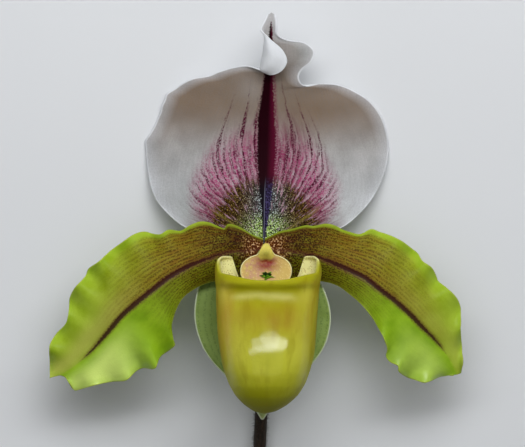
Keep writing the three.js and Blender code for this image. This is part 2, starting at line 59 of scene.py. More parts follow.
# %% The face frame
FACE_LEAN = math.radians(12)
FACE_HEIGHT = 19.2
OUTLINE_SHIFT = np.array([2.1, 31.6, 0.0])


def lying(points):
    """Face millimetres, shape (..., 3), as metres in the frame that the bloom lies in."""
    x, y, z = np.moveaxis(np.asarray(points, float), -1, 0)
    c, s = math.cos(FACE_LEAN), math.sin(FACE_LEAN)
    turned = np.stack([x, y * c + z * s, z * c - y * s + FACE_HEIGHT], -1)
    return (turned + OUTLINE_SHIFT) / 1000


print("the organs meet at", lying([0, 0, 0]).round(4), "m")

# %% [markdown]
# ## Camera
#
# The camera faces the bloom squarely from 0.7 m, as a portrait of an orchid is taken, so its
# axes are the face frame's own. A long lens keeps the pouch, which stands forward, from looking
# larger than it is.

# %% Camera
CAMERA_AIM, CAMERA_DISTANCE = (-0.36, 4.74), 700
camera_data = bpy.data.cameras.new("camera")
camera_data.sensor_width = 36
camera_data.lens = 197.5
camera_data.clip_end = 10
camera = bpy.data.objects.new("camera", camera_data)
camera.location = lying([*CAMERA_AIM, CAMERA_DISTANCE])
camera.rotation_euler = (-FACE_LEAN, 0, 0)
bpy.context.scene.collection.objects.link(camera)
bpy.context.scene.camera = camera
print("camera at", [round(value, 3) for value in camera.location])

# %% [markdown]
# ## Curves
#
# Margins and midveins are free curves through a few measured points. A centripetal
# Catmull-Rom curve goes through every point without loops, which a Bezier curve would need
# handles for. It is worked out with numpy for all points at once.

# %% Curves through points
def spline(points):
    """A curve through points, as a function of shares from 0 to 1, equal from point to point."""
    knots = np.asarray(points, float)
    knots = np.vstack([2 * knots[0] - knots[1], knots, 2 * knots[-1] - knots[-2]])
    steps = np.linalg.norm(np.diff(knots, axis=0), axis=1) ** 0.5
    steps = np.maximum(steps, 1e-3)[:, None]

    def at(share):
        place = np.clip(np.asarray(share, float), 0, 1) * (len(knots) - 3)
        i = np.minimum(place.astype(int), len(knots) - 4)
        w = (place - i)[..., None]
        a, b, c, d = knots[i], knots[i + 1], knots[i + 2], knots[i + 3]
        before, here, after = steps[i], steps[i + 1], steps[i + 2]
        leave = here * ((b - a) / before - (c - a) / (before + here) + (c - b) / here)
        arrive = here * ((c - b) / here - (d - b) / (here + after) + (d - c) / after)
        bend = 3 * (c - b) - 2 * leave - arrive
        return b + leave * w + bend * w**2 + (2 * (b - c) + leave + arrive) * w**3

    return at


def paced(curve, samples=1500):
    """The same curve by shares of its length, and that length."""
    shares = np.linspace(0, 1, samples)
    pieces = np.linalg.norm(np.diff(curve(shares), axis=0), axis=1)
    length = np.concatenate([[0], np.cumsum(pieces)])
    return lambda share: curve(np.interp(share, length / length[-1], shares)), length[-1]


def calm(curve, share, window, samples=9):
    """A curve's mean over a window of its length, which keeps its sweep and drops its ripples."""
    reach = np.minimum(window, np.minimum(share, 1 - share))
    shifts = np.linspace(-1, 1, samples)
    return np.mean([curve(share + reach * shift) for shift in shifts], axis=0)


def soft(value, low, high):
    """0 at low, 1 at high and smooth between, which also works from a high to a low value."""
    t = np.clip((np.asarray(value, float) - low) / (high - low), 0, 1)
    return t * t * (3 - 2 * t)


def hill(value, centre, width):
    """1 at the centre, falling off on both sides like a bell."""
    return np.exp(-(((value - centre) / width) ** 2))


def unit(vectors):
    return vectors / np.linalg.norm(vectors, axis=-1, keepdims=True)


print("a curve through 3 points, halfway:", spline([[0, 0, 0], [1, 1, 0], [2, 0, 0]])(0.5))

# %% [markdown]
# ## Skins
#
# A petal is a blade: one surface given a front and a back, thinner towards its margin. It could
# be a plane with a Solidify modifier, but a grid made in code lets each vertex carry marks, such
# as how far it lies from the midvein. The materials read those marks, so that veins follow the
# organ as they do in life. Rounder organs are stacks of rings that are closed at both ends.

# %% Meshes that carry marks
MARGIN_THICKNESS = 0.3


def make_piece(name, points, faces, marks, material, slot, replaced):
    """One Blender object from face millimetres, with its marks as point attributes."""
    mesh = bpy.data.meshes.new(name)
    mesh.from_pydata(lying(points).tolist(), [], faces)
    mesh.shade_smooth()
    marks = {**marks, "face": points}
    for mark, values in marks.items():
        values = np.asarray(values, np.float32)
        kind, field = ("FLOAT_VECTOR", "vector") if values.ndim == 2 else ("FLOAT", "value")
        mesh.attributes.new(mark, kind, "POINT").data.foreach_set(field, values.ravel())
    mesh.materials.append(material)
    piece = bpy.data.objects.new(name, mesh)
    bpy.context.scene.collection.objects.link(piece)
    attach(piece, "root")
    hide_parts(replaced)
    size = np.ptp(points, axis=0).round(1)
    print(f"{name}: {len(faces)} faces, {size[0]} x {size[1]} x {size[2]} mm")


def thinned(full, edge, fade):
    """A blade's thickness, full inside and thinner over the last fade millimetres to its margin."""
    return MARGIN_THICKNESS + (full - MARGIN_THICKNESS) * soft(edge, 0, fade)


def blade(middle, thickness, marks, relief=0):
    """Points, faces and marks of a closed blade round a grid of middle points.

    Both sides are moved forward by relief. The mark front is 1 on the side that faces the
    viewer and 0 behind.
    """
    normal = unit(np.cross(np.gradient(middle, axis=1), np.gradient(middle, axis=0)))
    if normal[..., 2].mean() < 0:
        normal = -normal
    half = (np.broadcast_to(thickness, middle.shape[:2]) / 2)[..., None]
    lift = np.broadcast_to(relief, middle.shape[:2])[..., None]
    sides = [middle + normal * (lift + half), middle + normal * (lift - half)]
    rows, columns = middle.shape[:2]
    index = np.arange(rows * columns).reshape(rows, columns)
    corners = [index[:-1, :-1], index[:-1, 1:], index[1:, 1:], index[1:, :-1]]
    quads = np.stack(corners, -1).reshape(-1, 4)
    border = np.concatenate([index[0, :-1], index[:-1, -1], index[-1, :0:-1], index[:0:-1, 0]])
    ahead = np.roll(border, -1)
    count = rows * columns
    strip = np.stack([border, border + count, ahead + count, ahead], -1)
    faces = np.concatenate([quads, quads[:, ::-1] + count, strip])
    across, along = middle[0, 1] - middle[0, 0], middle[1, 0] - middle[0, 0]
    if np.dot(np.cross(across, along), normal[0, 0]) < 0:
        faces = faces[:, ::-1]
    points = np.concatenate([side.reshape(-1, 3) for side in sides])
    doubled = {
        key: np.tile(np.broadcast_to(value, (rows, columns)).ravel(), 2) for key, value in marks.items()
    }
    doubled["front"] = np.repeat([1.0, 0.0], count)
    return points, faces.tolist(), doubled


def rings(stack):
    """Points and faces of a closed skin over rings, shape (rings, sides, 3), capped at both ends."""
    count, sides = stack.shape[:2]
    index = np.arange(count * sides).reshape(count, sides)
    turned = np.roll(index, -1, axis=1)
    quads = np.stack([index[:-1], turned[:-1], turned[1:], index[1:]], -1).reshape(-1, 4)
    first, last = count * sides, count * sides + 1
    caps = [[first, b, a] for a, b in zip(index[0], turned[0])]
    caps += [[last, a, b] for a, b in zip(index[-1], turned[-1])]
    points = np.concatenate([stack.reshape(-1, 3), [stack[0].mean(0), stack[-1].mean(0)]])
    return points, quads.tolist() + caps


def outwards(ahead, angle):
    """Unit vectors square to the ways ahead, turned round them by an angle."""
    side = unit(np.cross(ahead, np.cross([1.0, 0, 0], ahead)))
    return np.cos(angle)[..., None] * side - np.sin(angle)[..., None] * np.cross(side, ahead)


def rod(path, radius, sides, steps):
    """A stack of rings along a curve. The radius depends on the share of the way and the angle."""
    angles = np.linspace(0, 2 * np.pi, sides, endpoint=False)
    share, angle = np.meshgrid(np.linspace(0, 1, steps + 1), angles, indexing="ij")
    centres = path(share[:, 0])
    ahead = unit(np.gradient(centres, axis=0))
    return centres[:, None] + outwards(ahead[:, None], angle) * radius(share, angle)[..., None]


# %% [markdown]
# ## Materials
#
# Every organ here is living tissue: a clear, waxy skin over coloured, watery cells. Each
# material is a Principled shader with the refractive index of a plant's cuticle, about 1.45.
# What changes from organ to organ is the pigment, how even the skin is, and how it is marked.
# One helper adds any node, with its settings and links, and one turns hex colours to linear.

# %% Nodes and colours
CUTICLE_IOR = 1.45


def paint(code):
    """An sRGB hex colour as linear red, green, blue and alpha."""
    values = [int(code[i : i + 2], 16) / 255 for i in (1, 3, 5)]
    linear = [v / 12.92 if v <= 0.04045 else ((v + 0.055) / 1.055) ** 2.4 for v in values]
    return (*linear, 1.0)


def add(tree, kind, *inputs, out=0, **settings):
    """Adds a node and returns an output. Inputs come in order or, with a capital, by name."""
    node = tree.nodes.new("ShaderNode" + kind)
    named = {key.replace("_", " "): value for key, value in settings.items() if key[0].isupper()}
    for key, value in settings.items():
        if not key[0].isupper():
            setattr(node, key, value)
    for key, value in [*enumerate(inputs), *named.items()]:
        if isinstance(value, bpy.types.NodeSocket):
            tree.links.new(value, node.inputs[key])
        elif value is not None:
            node.inputs[key].default_value = paint(value) if isinstance(value, str) else value
    return node.outputs[out] if node.outputs else node


def tissue(name):
    """A new material's node tree, emptied, and the material."""
    material = bpy.data.materials.new(name)
    material.use_nodes = True
    material.node_tree.nodes.clear()
    return material.node_tree, material


print("white is", paint("#ffffff")[:3])

# %% [markdown]
# ## Dorsal sepal: pigment
#
# The dorsal sepal is the flag at the top: white tissue full of air, which scatters all light,
# with a maroon stripe of anthocyanin along its midvein. Veins leave the base like a fan, and
# each carries a dotted line of the same pigment, pink where it is thin. Over the base, green
# and red pigment overlap to an olive brown with pale specks. The pattern could be an image, but
# marks on the mesh and noise that is stretched along the veins keep it sharp at any distance.

# %% Dorsal sepal material
def dorsal_tissue():
    tree, material = tissue("dorsal sepal, air-filled white tissue")
    mark = {
        name: add(tree, "Attribute", attribute_name=name, out="Fac")
        for name in (
            "vein", "reach", "lines", "wash", "deep", "fan", "stripe", "fringe", "magenta", "violet",
            "teal", "mint", "ray", "warm", "bright", "dull", "across", "edge", "front",
        )
    }
    place = add(tree, "Attribute", attribute_name="face", out="Vector")
    flow = add(tree, "CombineXYZ", mark["vein"], add(tree, "Math", mark["reach"], 0.14, operation="MULTIPLY"))
    streak = add(tree, "TexNoise", Vector=flow, Scale=1.7, Detail=3.0, Roughness=0.65, out="Fac")
    cloud = add(tree, "TexNoise", Vector=place, Scale=0.16, Detail=4.0, out="Fac")
    # Grain and cells of about 0.4 mm make the dots. Real ones are finer and wouldn't show.
    grain = add(tree, "TexNoise", Vector=place, Scale=2.7, Detail=1.0, Roughness=0.5, out="Fac")
    dots = add(tree, "TexVoronoi", Vector=place, Scale=2.6, out="Distance")

    # White tissue, browner towards the tip, partly from a brown tint and partly as painted shade.
    white = add(tree, "MixRGB", add(tree, "MapRange", cloud, 0.35, 0.65), "#c2c1c0", "#aeadac")
    ground = add(tree, "MixRGB", mark["warm"], white, "#785c3c")
    # Painted light on the lower lobes.
    ground = add(tree, "MixRGB", mark["bright"], ground, "#d6d8da")
    # Painted shade on the lower left lobe and beside the tip.
    ground = add(tree, "MixRGB", mark["dull"], ground, "#7c807a")
    # Painted light over the last 4 mm to the margin.
    ground = add(tree, "MixRGB", add(tree, "MapRange", mark["edge"], 4.0, 0.2, 0.0, 0.5), ground, "#dfe1e5")
    ground = add(tree, "MixRGB", add(tree, "MapRange", grain, 0.4, 0.62, 0.0, 0.14), ground, "#7c7a78")
    ground = add(tree, "MixRGB", add(tree, "MapRange", streak, 0.42, 0.6, 0.0, 0.12), ground, "#827c7a")

    # The pink wash between the veins is streaked along them and grainy.
    streaked = add(tree, "MapRange", streak, 0.38, 0.58, 0.52, 1.0)
    grainy = add(tree, "MapRange", grain, 0.38, 0.56, 0.4, 1.0)
    wash = add(tree, "Math", mark["wash"], streaked, operation="MULTIPLY")
    wash = add(tree, "Math", wash, grainy, operation="MULTIPLY")
    ground = add(tree, "MixRGB", wash, ground, "#b85080")
    streaked = add(tree, "MapRange", streak, 0.4, 0.56, 0.4, 1.1)
    deep = add(tree, "Math", mark["deep"], streaked, operation="MULTIPLY")
    ground = add(tree, "MixRGB", deep, ground, "#66162c")

    # Each vein is a thin line in the middle of its own cell, broken into dots.
    wander = add(tree, "MapRange", streak, 0.3, 0.7, -0.4, 0.4)
    cell = add(tree, "Math", add(tree, "Math", mark["vein"], wander, operation="ADD"), operation="FRACT")
    off = add(tree, "Math", add(tree, "Math", cell, 0.5, operation="SUBTRACT"), operation="ABSOLUTE")
    line = add(tree, "MapRange", off, 0.34, 0.1, 0.0, 1.0, interpolation_type="SMOOTHSTEP")
    line = add(tree, "Math", line, add(tree, "MapRange", grain, 0.38, 0.52, 0.3, 1.0), operation="MULTIPLY")
    line = add(tree, "Math", line, mark["lines"], operation="MULTIPLY")
    ground = add(tree, "MixRGB", line, ground, "#50142c")

    # The olive fan has a ragged edge and pale specks all over, and one tan ray to each side.
    ragged = add(tree, "MapRange", streak, 0.3, 0.7, 0.1, 1.9)
    fan = add(tree, "Math", mark["fan"], ragged, operation="MULTIPLY")
    fan = add(tree, "MapRange", fan, 0.2, 0.75, 0.0, 1.0, interpolation_type="SMOOTHSTEP")
    dark = add(tree, "MixRGB", mark["teal"], "#1e0e00", "#1a181a")
    middle = add(tree, "MixRGB", mark["teal"], "#4a340a", "#505254")
    pale = add(tree, "MixRGB", mark["teal"], "#b2964a", "#ccdee4")
    middle = add(tree, "MixRGB", mark["mint"], middle, "#9aba58")
    pale = add(tree, "MixRGB", mark["mint"], pale, "#f2ffcc")
    olive = add(tree, "MixRGB", add(tree, "MapRange", grain, 0.42, 0.56), dark, middle)
    speckle = add(tree, "Math", mark["mint"], mark["teal"], operation="MAXIMUM")
    larger = add(tree, "MapRange", speckle, 0.0, 1.0, 0.0, 0.09)
    speckle = add(tree, "Math", dots, larger, operation="SUBTRACT")
    olive = add(tree, "MixRGB", add(tree, "MapRange", speckle, 0.3, 0.16, 0.0, 0.9), olive, pale)
    ground = add(tree, "MixRGB", fan, ground, olive)
    ray = add(tree, "Math", mark["ray"], add(tree, "MapRange", streak, 0.4, 0.55), operation="MULTIPLY")
    ground = add(tree, "MixRGB", ray, ground, "#9c8c40")

    # The stripe: maroon, magenta along its right side, and violet near the base.
    rough_edge = add(tree, "MapRange", grain, 0.3, 0.7, -0.2, 0.2)
    stripe = add(tree, "Math", mark["stripe"], rough_edge, operation="ADD")
    grainy = add(tree, "MapRange", grain, 0.4, 0.55, 0.35, 1.0)
    fringe = add(tree, "Math", mark["fringe"], grainy, operation="MULTIPLY")
    ground = add(tree, "MixRGB", fringe, ground, "#762c46")
    maroon = add(tree, "MixRGB", mark["magenta"], "#200008", "#540a26")
    violet = add(tree, "MixRGB", add(tree, "MapRange", grain, 0.42, 0.64), "#181022", "#423a62")
    violet = add(tree, "MixRGB", add(tree, "MapRange", mark["across"], 0.25, -0.15), violet, "#0e0810")
    thread = add(tree, "Math", add(tree, "Math", mark["across"], 0.12, operation="ADD"), operation="ABSOLUTE")
    violet = add(tree, "MixRGB", add(tree, "MapRange", thread, 0.14, 0.04, 0.0, 0.4), violet, "#9090a8")
    maroon = add(tree, "MixRGB", mark["violet"], maroon, violet)
    core = add(tree, "MapRange", stripe, -0.1, 0.3, 0.0, 1.0, interpolation_type="SMOOTHSTEP")
    ground = add(tree, "MixRGB", core, ground, maroon)

    # The margin is a thin bright rim, and the back is pale with only a shade of the front.
    rim = add(tree, "MapRange", mark["edge"], 0.65, 0.2, 0.0, 0.85, interpolation_type="SMOOTHSTEP")
    ground = add(tree, "MixRGB", rim, ground, "#f4f5f8")
    back = add(tree, "MixRGB", 0.1, "#e2e4e6", ground)
    ground = add(tree, "MixRGB", mark["front"], back, ground)

    # The veins lie in shallow furrows, 1 to 2 mm apart, in a skin of small cells.
    height = add(tree, "Math", add(tree, "Math", off, grain, operation="ADD"), 0.5, operation="MULTIPLY")
    bump = add(tree, "Bump", Strength=0.3, Distance=0.0003, Height=height)
    shader = add(
        tree, "BsdfPrincipled", ground, Roughness=0.6, IOR=CUTICLE_IOR, Specular_IOR_Level=0.05, Normal=bump,
    )
    add(tree, "OutputMaterial", shader)
    return material


# %% [markdown]
# ## Dorsal sepal: shape
#
# Its sides bend back more and more until their lobes touch the surface below, and near the tip
# the left margin rolls forward over the midvein. A lattice of seven curves from base to tip
# holds that: one for the midvein, three to each side. Between them, each row is a curve of its
# own. The rolled rows name the two points that the left half passes, first behind, then in front.

# %% Dorsal sepal rows
DORSAL_ROWS = [
    # left margin, midvein, right margin, and the two points of a roll, in face millimetres
    ([-3.2, 0.3, -2.3], [0.1, -0.5, -2.1], [3.2, 0.3, -2.3]),
    ([-11.2, 1.6, -4.6], [0.1, 2.2, -2.6], [11.3, 1.6, -4.6]),
    ([-18.9, 3.5, -8.2], [0.2, 5.2, -3.3], [19.1, 3.7, -8.2]),
    ([-23.4, 6.8, -11.0], [0.2, 8.4, -3.9], [23.3, 6.9, -10.9]),
    ([-26.9, 11.0, -13.0], [0.3, 12.0, -4.5], [27.0, 11.2, -12.8]),
    ([-28.7, 17.0, -14.3], [0.5, 16.2, -5.0], [29.9, 17.3, -14.2]),
    ([-29.1, 24.6, -14.1], [0.7, 20.6, -5.1], [31.0, 23.6, -14.6]),
    ([-26.8, 29.6, -13.0], [0.8, 24.6, -4.9], [29.5, 30.4, -13.4]),
    ([-25.1, 34.2, -11.7], [0.9, 28.2, -4.3], [26.3, 34.8, -11.4]),
    ([-21.9, 38.0, -10.3], [1.0, 31.4, -3.6], [22.3, 37.3, -9.6]),
    ([-17.7, 40.3, -8.3], [1.1, 34.1, -2.8], [18.2, 38.8, -7.4]),
    ([-13.3, 41.0, -6.3], [1.2, 36.4, -2.0], [14.2, 38.9, -5.4]),
    ([-8.6, 42.6, -3.8], [1.3, 38.4, -1.2], [10.7, 38.3, -3.6], [-1.4, 39.6, -1.6], [-4.6, 41.4, -2.2]),
    ([-4.4, 43.1, -1.2], [1.4, 40.2, -0.6], [9.1, 38.9, -2.4], [-0.4, 41.2, -0.8], [-2.4, 42.3, -0.9]),
    ([-1.3, 42.1, 1.4], [1.5, 41.7, 0.0], [8.5, 40.7, -1.3], [-0.1, 42.0, 0.0], [-1.1, 42.2, 0.6]),
    ([1.7, 40.7, 3.2], [1.5, 43.0, 0.4], [9.4, 42.4, -0.7], [-0.3, 42.9, 0.9], [-0.4, 41.9, 2.9]),
    ([4.3, 41.6, 4.4], [1.5, 44.3, 0.8], [11.6, 44.3, -0.2], [-0.3, 44.3, 1.6], [0.8, 43.1, 4.4]),
    ([5.6, 43.9, 5.0], [1.5, 45.7, 1.2], [12.3, 46.5, 0.0], [0.0, 45.7, 2.1], [1.4, 44.9, 5.0]),
    ([4.6, 46.4, 5.0], [1.6, 47.3, 1.6], [10.2, 48.5, 0.6], [0.2, 47.2, 2.5], [1.3, 46.8, 5.0]),
    ([2.2, 48.7, 4.6], [1.6, 49.1, 2.0], [5.6, 49.2, 2.2], [0.4, 49.0, 2.8], [0.8, 48.8, 4.5]),
    ([0.4, 50.3, 4.3], [1.7, 50.9, 2.3], [3.3, 50.4, 3.1], [0.4, 50.6, 2.8], [0.0, 50.4, 3.8]),
    ([-0.9, 51.5, 3.9], [1.7, 52.4, 2.5], [3.1, 52.1, 3.5], [0.8, 52.1, 2.8], [-0.1, 51.8, 3.4]),
    ([0.0, 53.7, 3.4], [1.7, 54.0, 2.6], [3.1, 53.8, 3.3], [1.2, 53.9, 2.8], [0.6, 53.8, 3.1]),
    ([0.7, 55.2, 2.9], [1.8, 55.8, 2.7], [2.9, 55.2, 2.9], [1.5, 55.6, 2.7], [1.1, 55.4, 2.8]),
]
DORSAL_CURL, DORSAL_THICKNESS = 1.6, 0.8
# where the left margin stands out in a small corner, or in if it is negative: place and size
DORSAL_CORNERS = [
    ([-28.9, 25.1], 0.5), ([-26.0, 32.4], -0.3), ([-23.6, 36.6], 0.7), ([-16.0, 40.9], -0.3),
    ([-11.4, 41.6], 0.3),
]
CORNER_RADIUS, RIPPLES, RIPPLE_HEIGHT = 1.3, 13, 0.25


def dorsal_net():
    """For each row its seven points, from the left margin over the midvein to the right one."""
    def thirds(mid, margin):
        between = [np.array(mid) + (np.array(margin) - mid) * s for s in (1 / 3, 2 / 3)]
        for point, s in zip(between, (1 / 3, 2 / 3)):
            point[2] = mid[2] + (margin[2] - mid[2]) * s**DORSAL_CURL
        return between

    net = []
    for left, mid, right, *roll in DORSAL_ROWS:
        inner, outer = roll or thirds(mid, left)
        net.append([left, outer, inner, mid, *thirds(mid, right), right])
    return np.array(net)


def dorsal_grid(across, along):
    """The blade's middle surface, and its shares across (-1 to 1) and along (0 to 1)."""
    columns = [spline(column) for column in dorsal_net().transpose(1, 0, 2)]
    v = np.linspace(0, 1, along + 1)
    lattice = np.stack([column(v) for column in columns], 1)
    shares = np.linspace(0, 1, across + 1)
    middle, u = np.stack([spline(row)(shares) for row in lattice]), 2 * shares - 1

    # Near the margin the sepal stands out in small corners and ripples a little.
    margin = middle[:, 0]
    outward = unit(margin - middle[:, across // 8])
    gaps = [np.hypot(*(margin[:, :2] - place).T) for place, _ in DORSAL_CORNERS]
    push = sum(size * hill(gap, 0, CORNER_RADIUS) for gap, (_, size) in zip(gaps, DORSAL_CORNERS))
    middle += outward[:, None] * (push[:, None] * np.clip(-u, 0, 1) ** 8)[..., None]
    waves = 1 + np.sin(2 * np.pi * (RIPPLES * v[:, None] + 0.3 * np.sign(u)))
    grown = (soft(v, 0.08, 0.16) * soft(v, 0.54, 0.46))[:, None]
    middle[..., 2] += RIPPLE_HEIGHT * waves * grown * np.abs(u) ** 5
    return middle, u, v


dorsal_middle, dorsal_u, dorsal_v = dorsal_grid(across=112, along=240)
print("dorsal sepal:", dorsal_middle.shape, "points")

# %% [markdown]
# The marks come next. The veins leave one point at the base in all directions, 4 degrees apart,
# run straight for 20 mm and then bend up towards the tip. So a vein's number is its angle
# divided by how much it has bent upright at that reach. How far each carries pigment depends
# on its angle: 26 mm for the upright ones, up to 40 mm for a few long ones, and 8 mm for the
# flat ones.

# %% Dorsal sepal marks
FAN_POINT = (0.2, -1.0)
VEIN_DEGREES = 4.0
# reach: the share of a vein's first angle that is left there
UPRIGHT = np.array([
    [20, 1.0], [24, 0.94], [28, 0.78], [31, 0.64], [35, 0.46], [38, 0.37], [42, 0.3], [60, 0.2],
])
# a vein's angle at the base: how far its line reaches
LINE_REACH = np.array([[0, 26], [30, 27.5], [45, 25], [60, 21.5], [68, 17], [90, 8]])
# the same for the pink wash
WASH_REACH = np.array([[0, 31], [35, 29], [55, 24], [70, 17.5], [90, 9]])
# the few long veins: angle at the base, and how much further they reach
LONG_VEINS = [(-30, 10), (-15, 12), (-6, 8), (6, 7), (18, 13), (30, 9), (38, 7)]
# height: how far the stripe reaches to the left and to the right of the midvein
STRIPE = np.array([
    [-1, 0.35, 0.3], [1.2, 0.45, 0.4], [3.1, 0.55, 0.55], [5.6, 0.7, 0.9], [8.1, 0.9, 1.3], [10.5, 1.1, 1.5],
    [13, 1.5, 1.75], [15.4, 1.85, 1.95], [20, 2.4, 2.15], [25.3, 2.5, 2.15], [30.2, 2.5, 1.75],
    [36.4, 1.8, 1.15], [41, 1.4, 0.8], [45, 1.1, 0.8], [49, 0.8, 0.75], [51, 0.65, 0.6], [52.5, 0.5, 0.45],
    [53.5, 0.25, 0.2], [54.2, -0.3, -0.3], [56, -1.0, -1.0],
])


def dorsal_marks(middle, u, v):
    """What the material reads at each point: places in mm, and amounts from 0 to about 1."""
    x, y = middle[..., 0], middle[..., 1]
    step = np.linalg.norm(np.diff(middle, axis=1), axis=-1)
    width = np.concatenate([np.zeros((len(v), 1)), np.cumsum(step, axis=1)], axis=1)
    centre = len(u) // 2
    across = width - width[:, centre : centre + 1]
    height = np.broadcast_to(y[:, centre : centre + 1], y.shape)
    left, right = [np.interp(height, STRIPE[:, 0], STRIPE[:, side]) for side in (1, 2)]
    reach = np.hypot(x - FAN_POINT[0], y - FAN_POINT[1])
    lean = np.degrees(np.arctan2(x - FAN_POINT[0], np.maximum(y - FAN_POINT[1], 0.01)))
    angle = lean / np.interp(reach, *UPRIGHT.T)
    side = np.abs(angle)
    tips = np.interp(side, *LINE_REACH.T) + 1.5 * np.sin(angle * 1.9)
    tips += sum(further * hill(angle, start, 2.4) for start, further in LONG_VEINS)
    on_long_vein = sum(hill(angle, start, 1.6) for start, _ in LONG_VEINS)
    strong = 0.75 + 0.25 * np.sin(angle * 0.9 + 1) + 0.35 * on_long_vein
    washed = np.interp(side, *WASH_REACH.T)
    rays = hill(angle, -54.5, 1.1) + hill(angle, 54, 1.3)

    def spot(place, size):
        return hill(np.hypot(x - place[0], y - place[1]), 0, size)

    return {
        "vein": angle / VEIN_DEGREES,
        "reach": reach,
        "lines": strong * soft(reach, tips + 3, tips - 5),
        "wash": soft(reach, washed + 2, washed - 8) * soft(side, 76, 60),
        "deep": np.maximum(
            (0.3 * hill(x, 0, 8) + 0.35 * hill(x, 6.5, 4)) * soft(y, 35, 25) * soft(y, 6, 13),
            0.6 * soft(reach, 22, 15) * soft(side, 22, 42),
        ),
        "fan": soft(np.hypot(1.22 * x, y + 1), 21.5, 11.5),
        "ray": 0.7 * rays * soft(reach, 5, 8) * soft(reach, 18, 14),
        "stripe": np.minimum(across + left, right - across),
        "fringe": 0.8 * soft(np.minimum(across + left + 0.3, right + 0.9 - across), -0.1, 0.7)
        * soft(height, 12, 17) * soft(height, 47, 42),
        "magenta": soft(across / np.maximum(right, 0.1), -0.1, 0.8) * soft(height, 13, 18),
        "violet": soft(height, 16.8, 12),
        "across": across,
        "teal": hill(across, 0.4, 4.3) * soft(height, 18, 11),
        "mint": soft(height, 8.5, 3.5) * hill(across, 0, 5),
        # Browner towards the tip: partly a brown tint, partly painted shade, with painted shade and light in
        # three patches.
        "warm": np.clip(
            (0.1 * soft(y, 14, 22) + 0.65 * soft(y, 20, 34)) * (1 - 0.5 * soft(y, 41, 45))
            + 0.16 * spot((12, 28.5), 7) + 0.1 * spot((-15.5, 35.5), 6) - 0.14 * spot((-3, 38), 3.5), 0, 1,
        ),
        # Painted light on the lower lobes.
        "bright": 0.6 * soft(np.abs(x - 0.7), 12, 22) * soft(y, 22, 8),
        # Painted shade on the lower left lobe and beside the tip.
        "dull": 0.4 * spot((-18, 9), 7) + 0.55 * spot((9.6, 46.6), 2.4),
        "edge": np.minimum(width, width[:, -1:] - width),
    }


dorsal_marking = dorsal_marks(dorsal_middle, dorsal_u, dorsal_v)
dorsal_thickness = thinned(DORSAL_THICKNESS, dorsal_marking["edge"], 4)
dorsal_groove = -0.25 * soft(dorsal_marking["stripe"], -0.2, 1.6)
make_piece(
    "dorsal_sepal_tissue", *blade(dorsal_middle, dorsal_thickness, dorsal_marking, dorsal_groove),
    dorsal_tissue(), "dorsal", "dorsal_sepal",
)

# %% [markdown]
# ## Petals: pigment
#
# A petal is green tissue with a glossy skin. A maroon midvein runs almost to its tip. Over the
# upper half, from the base outwards, brown pigment lies on the green in dotted lines that follow
# the veins, and it reads as bronze. The base is crowded with dark specks, and the margin is
# free of brown, thin and bright.

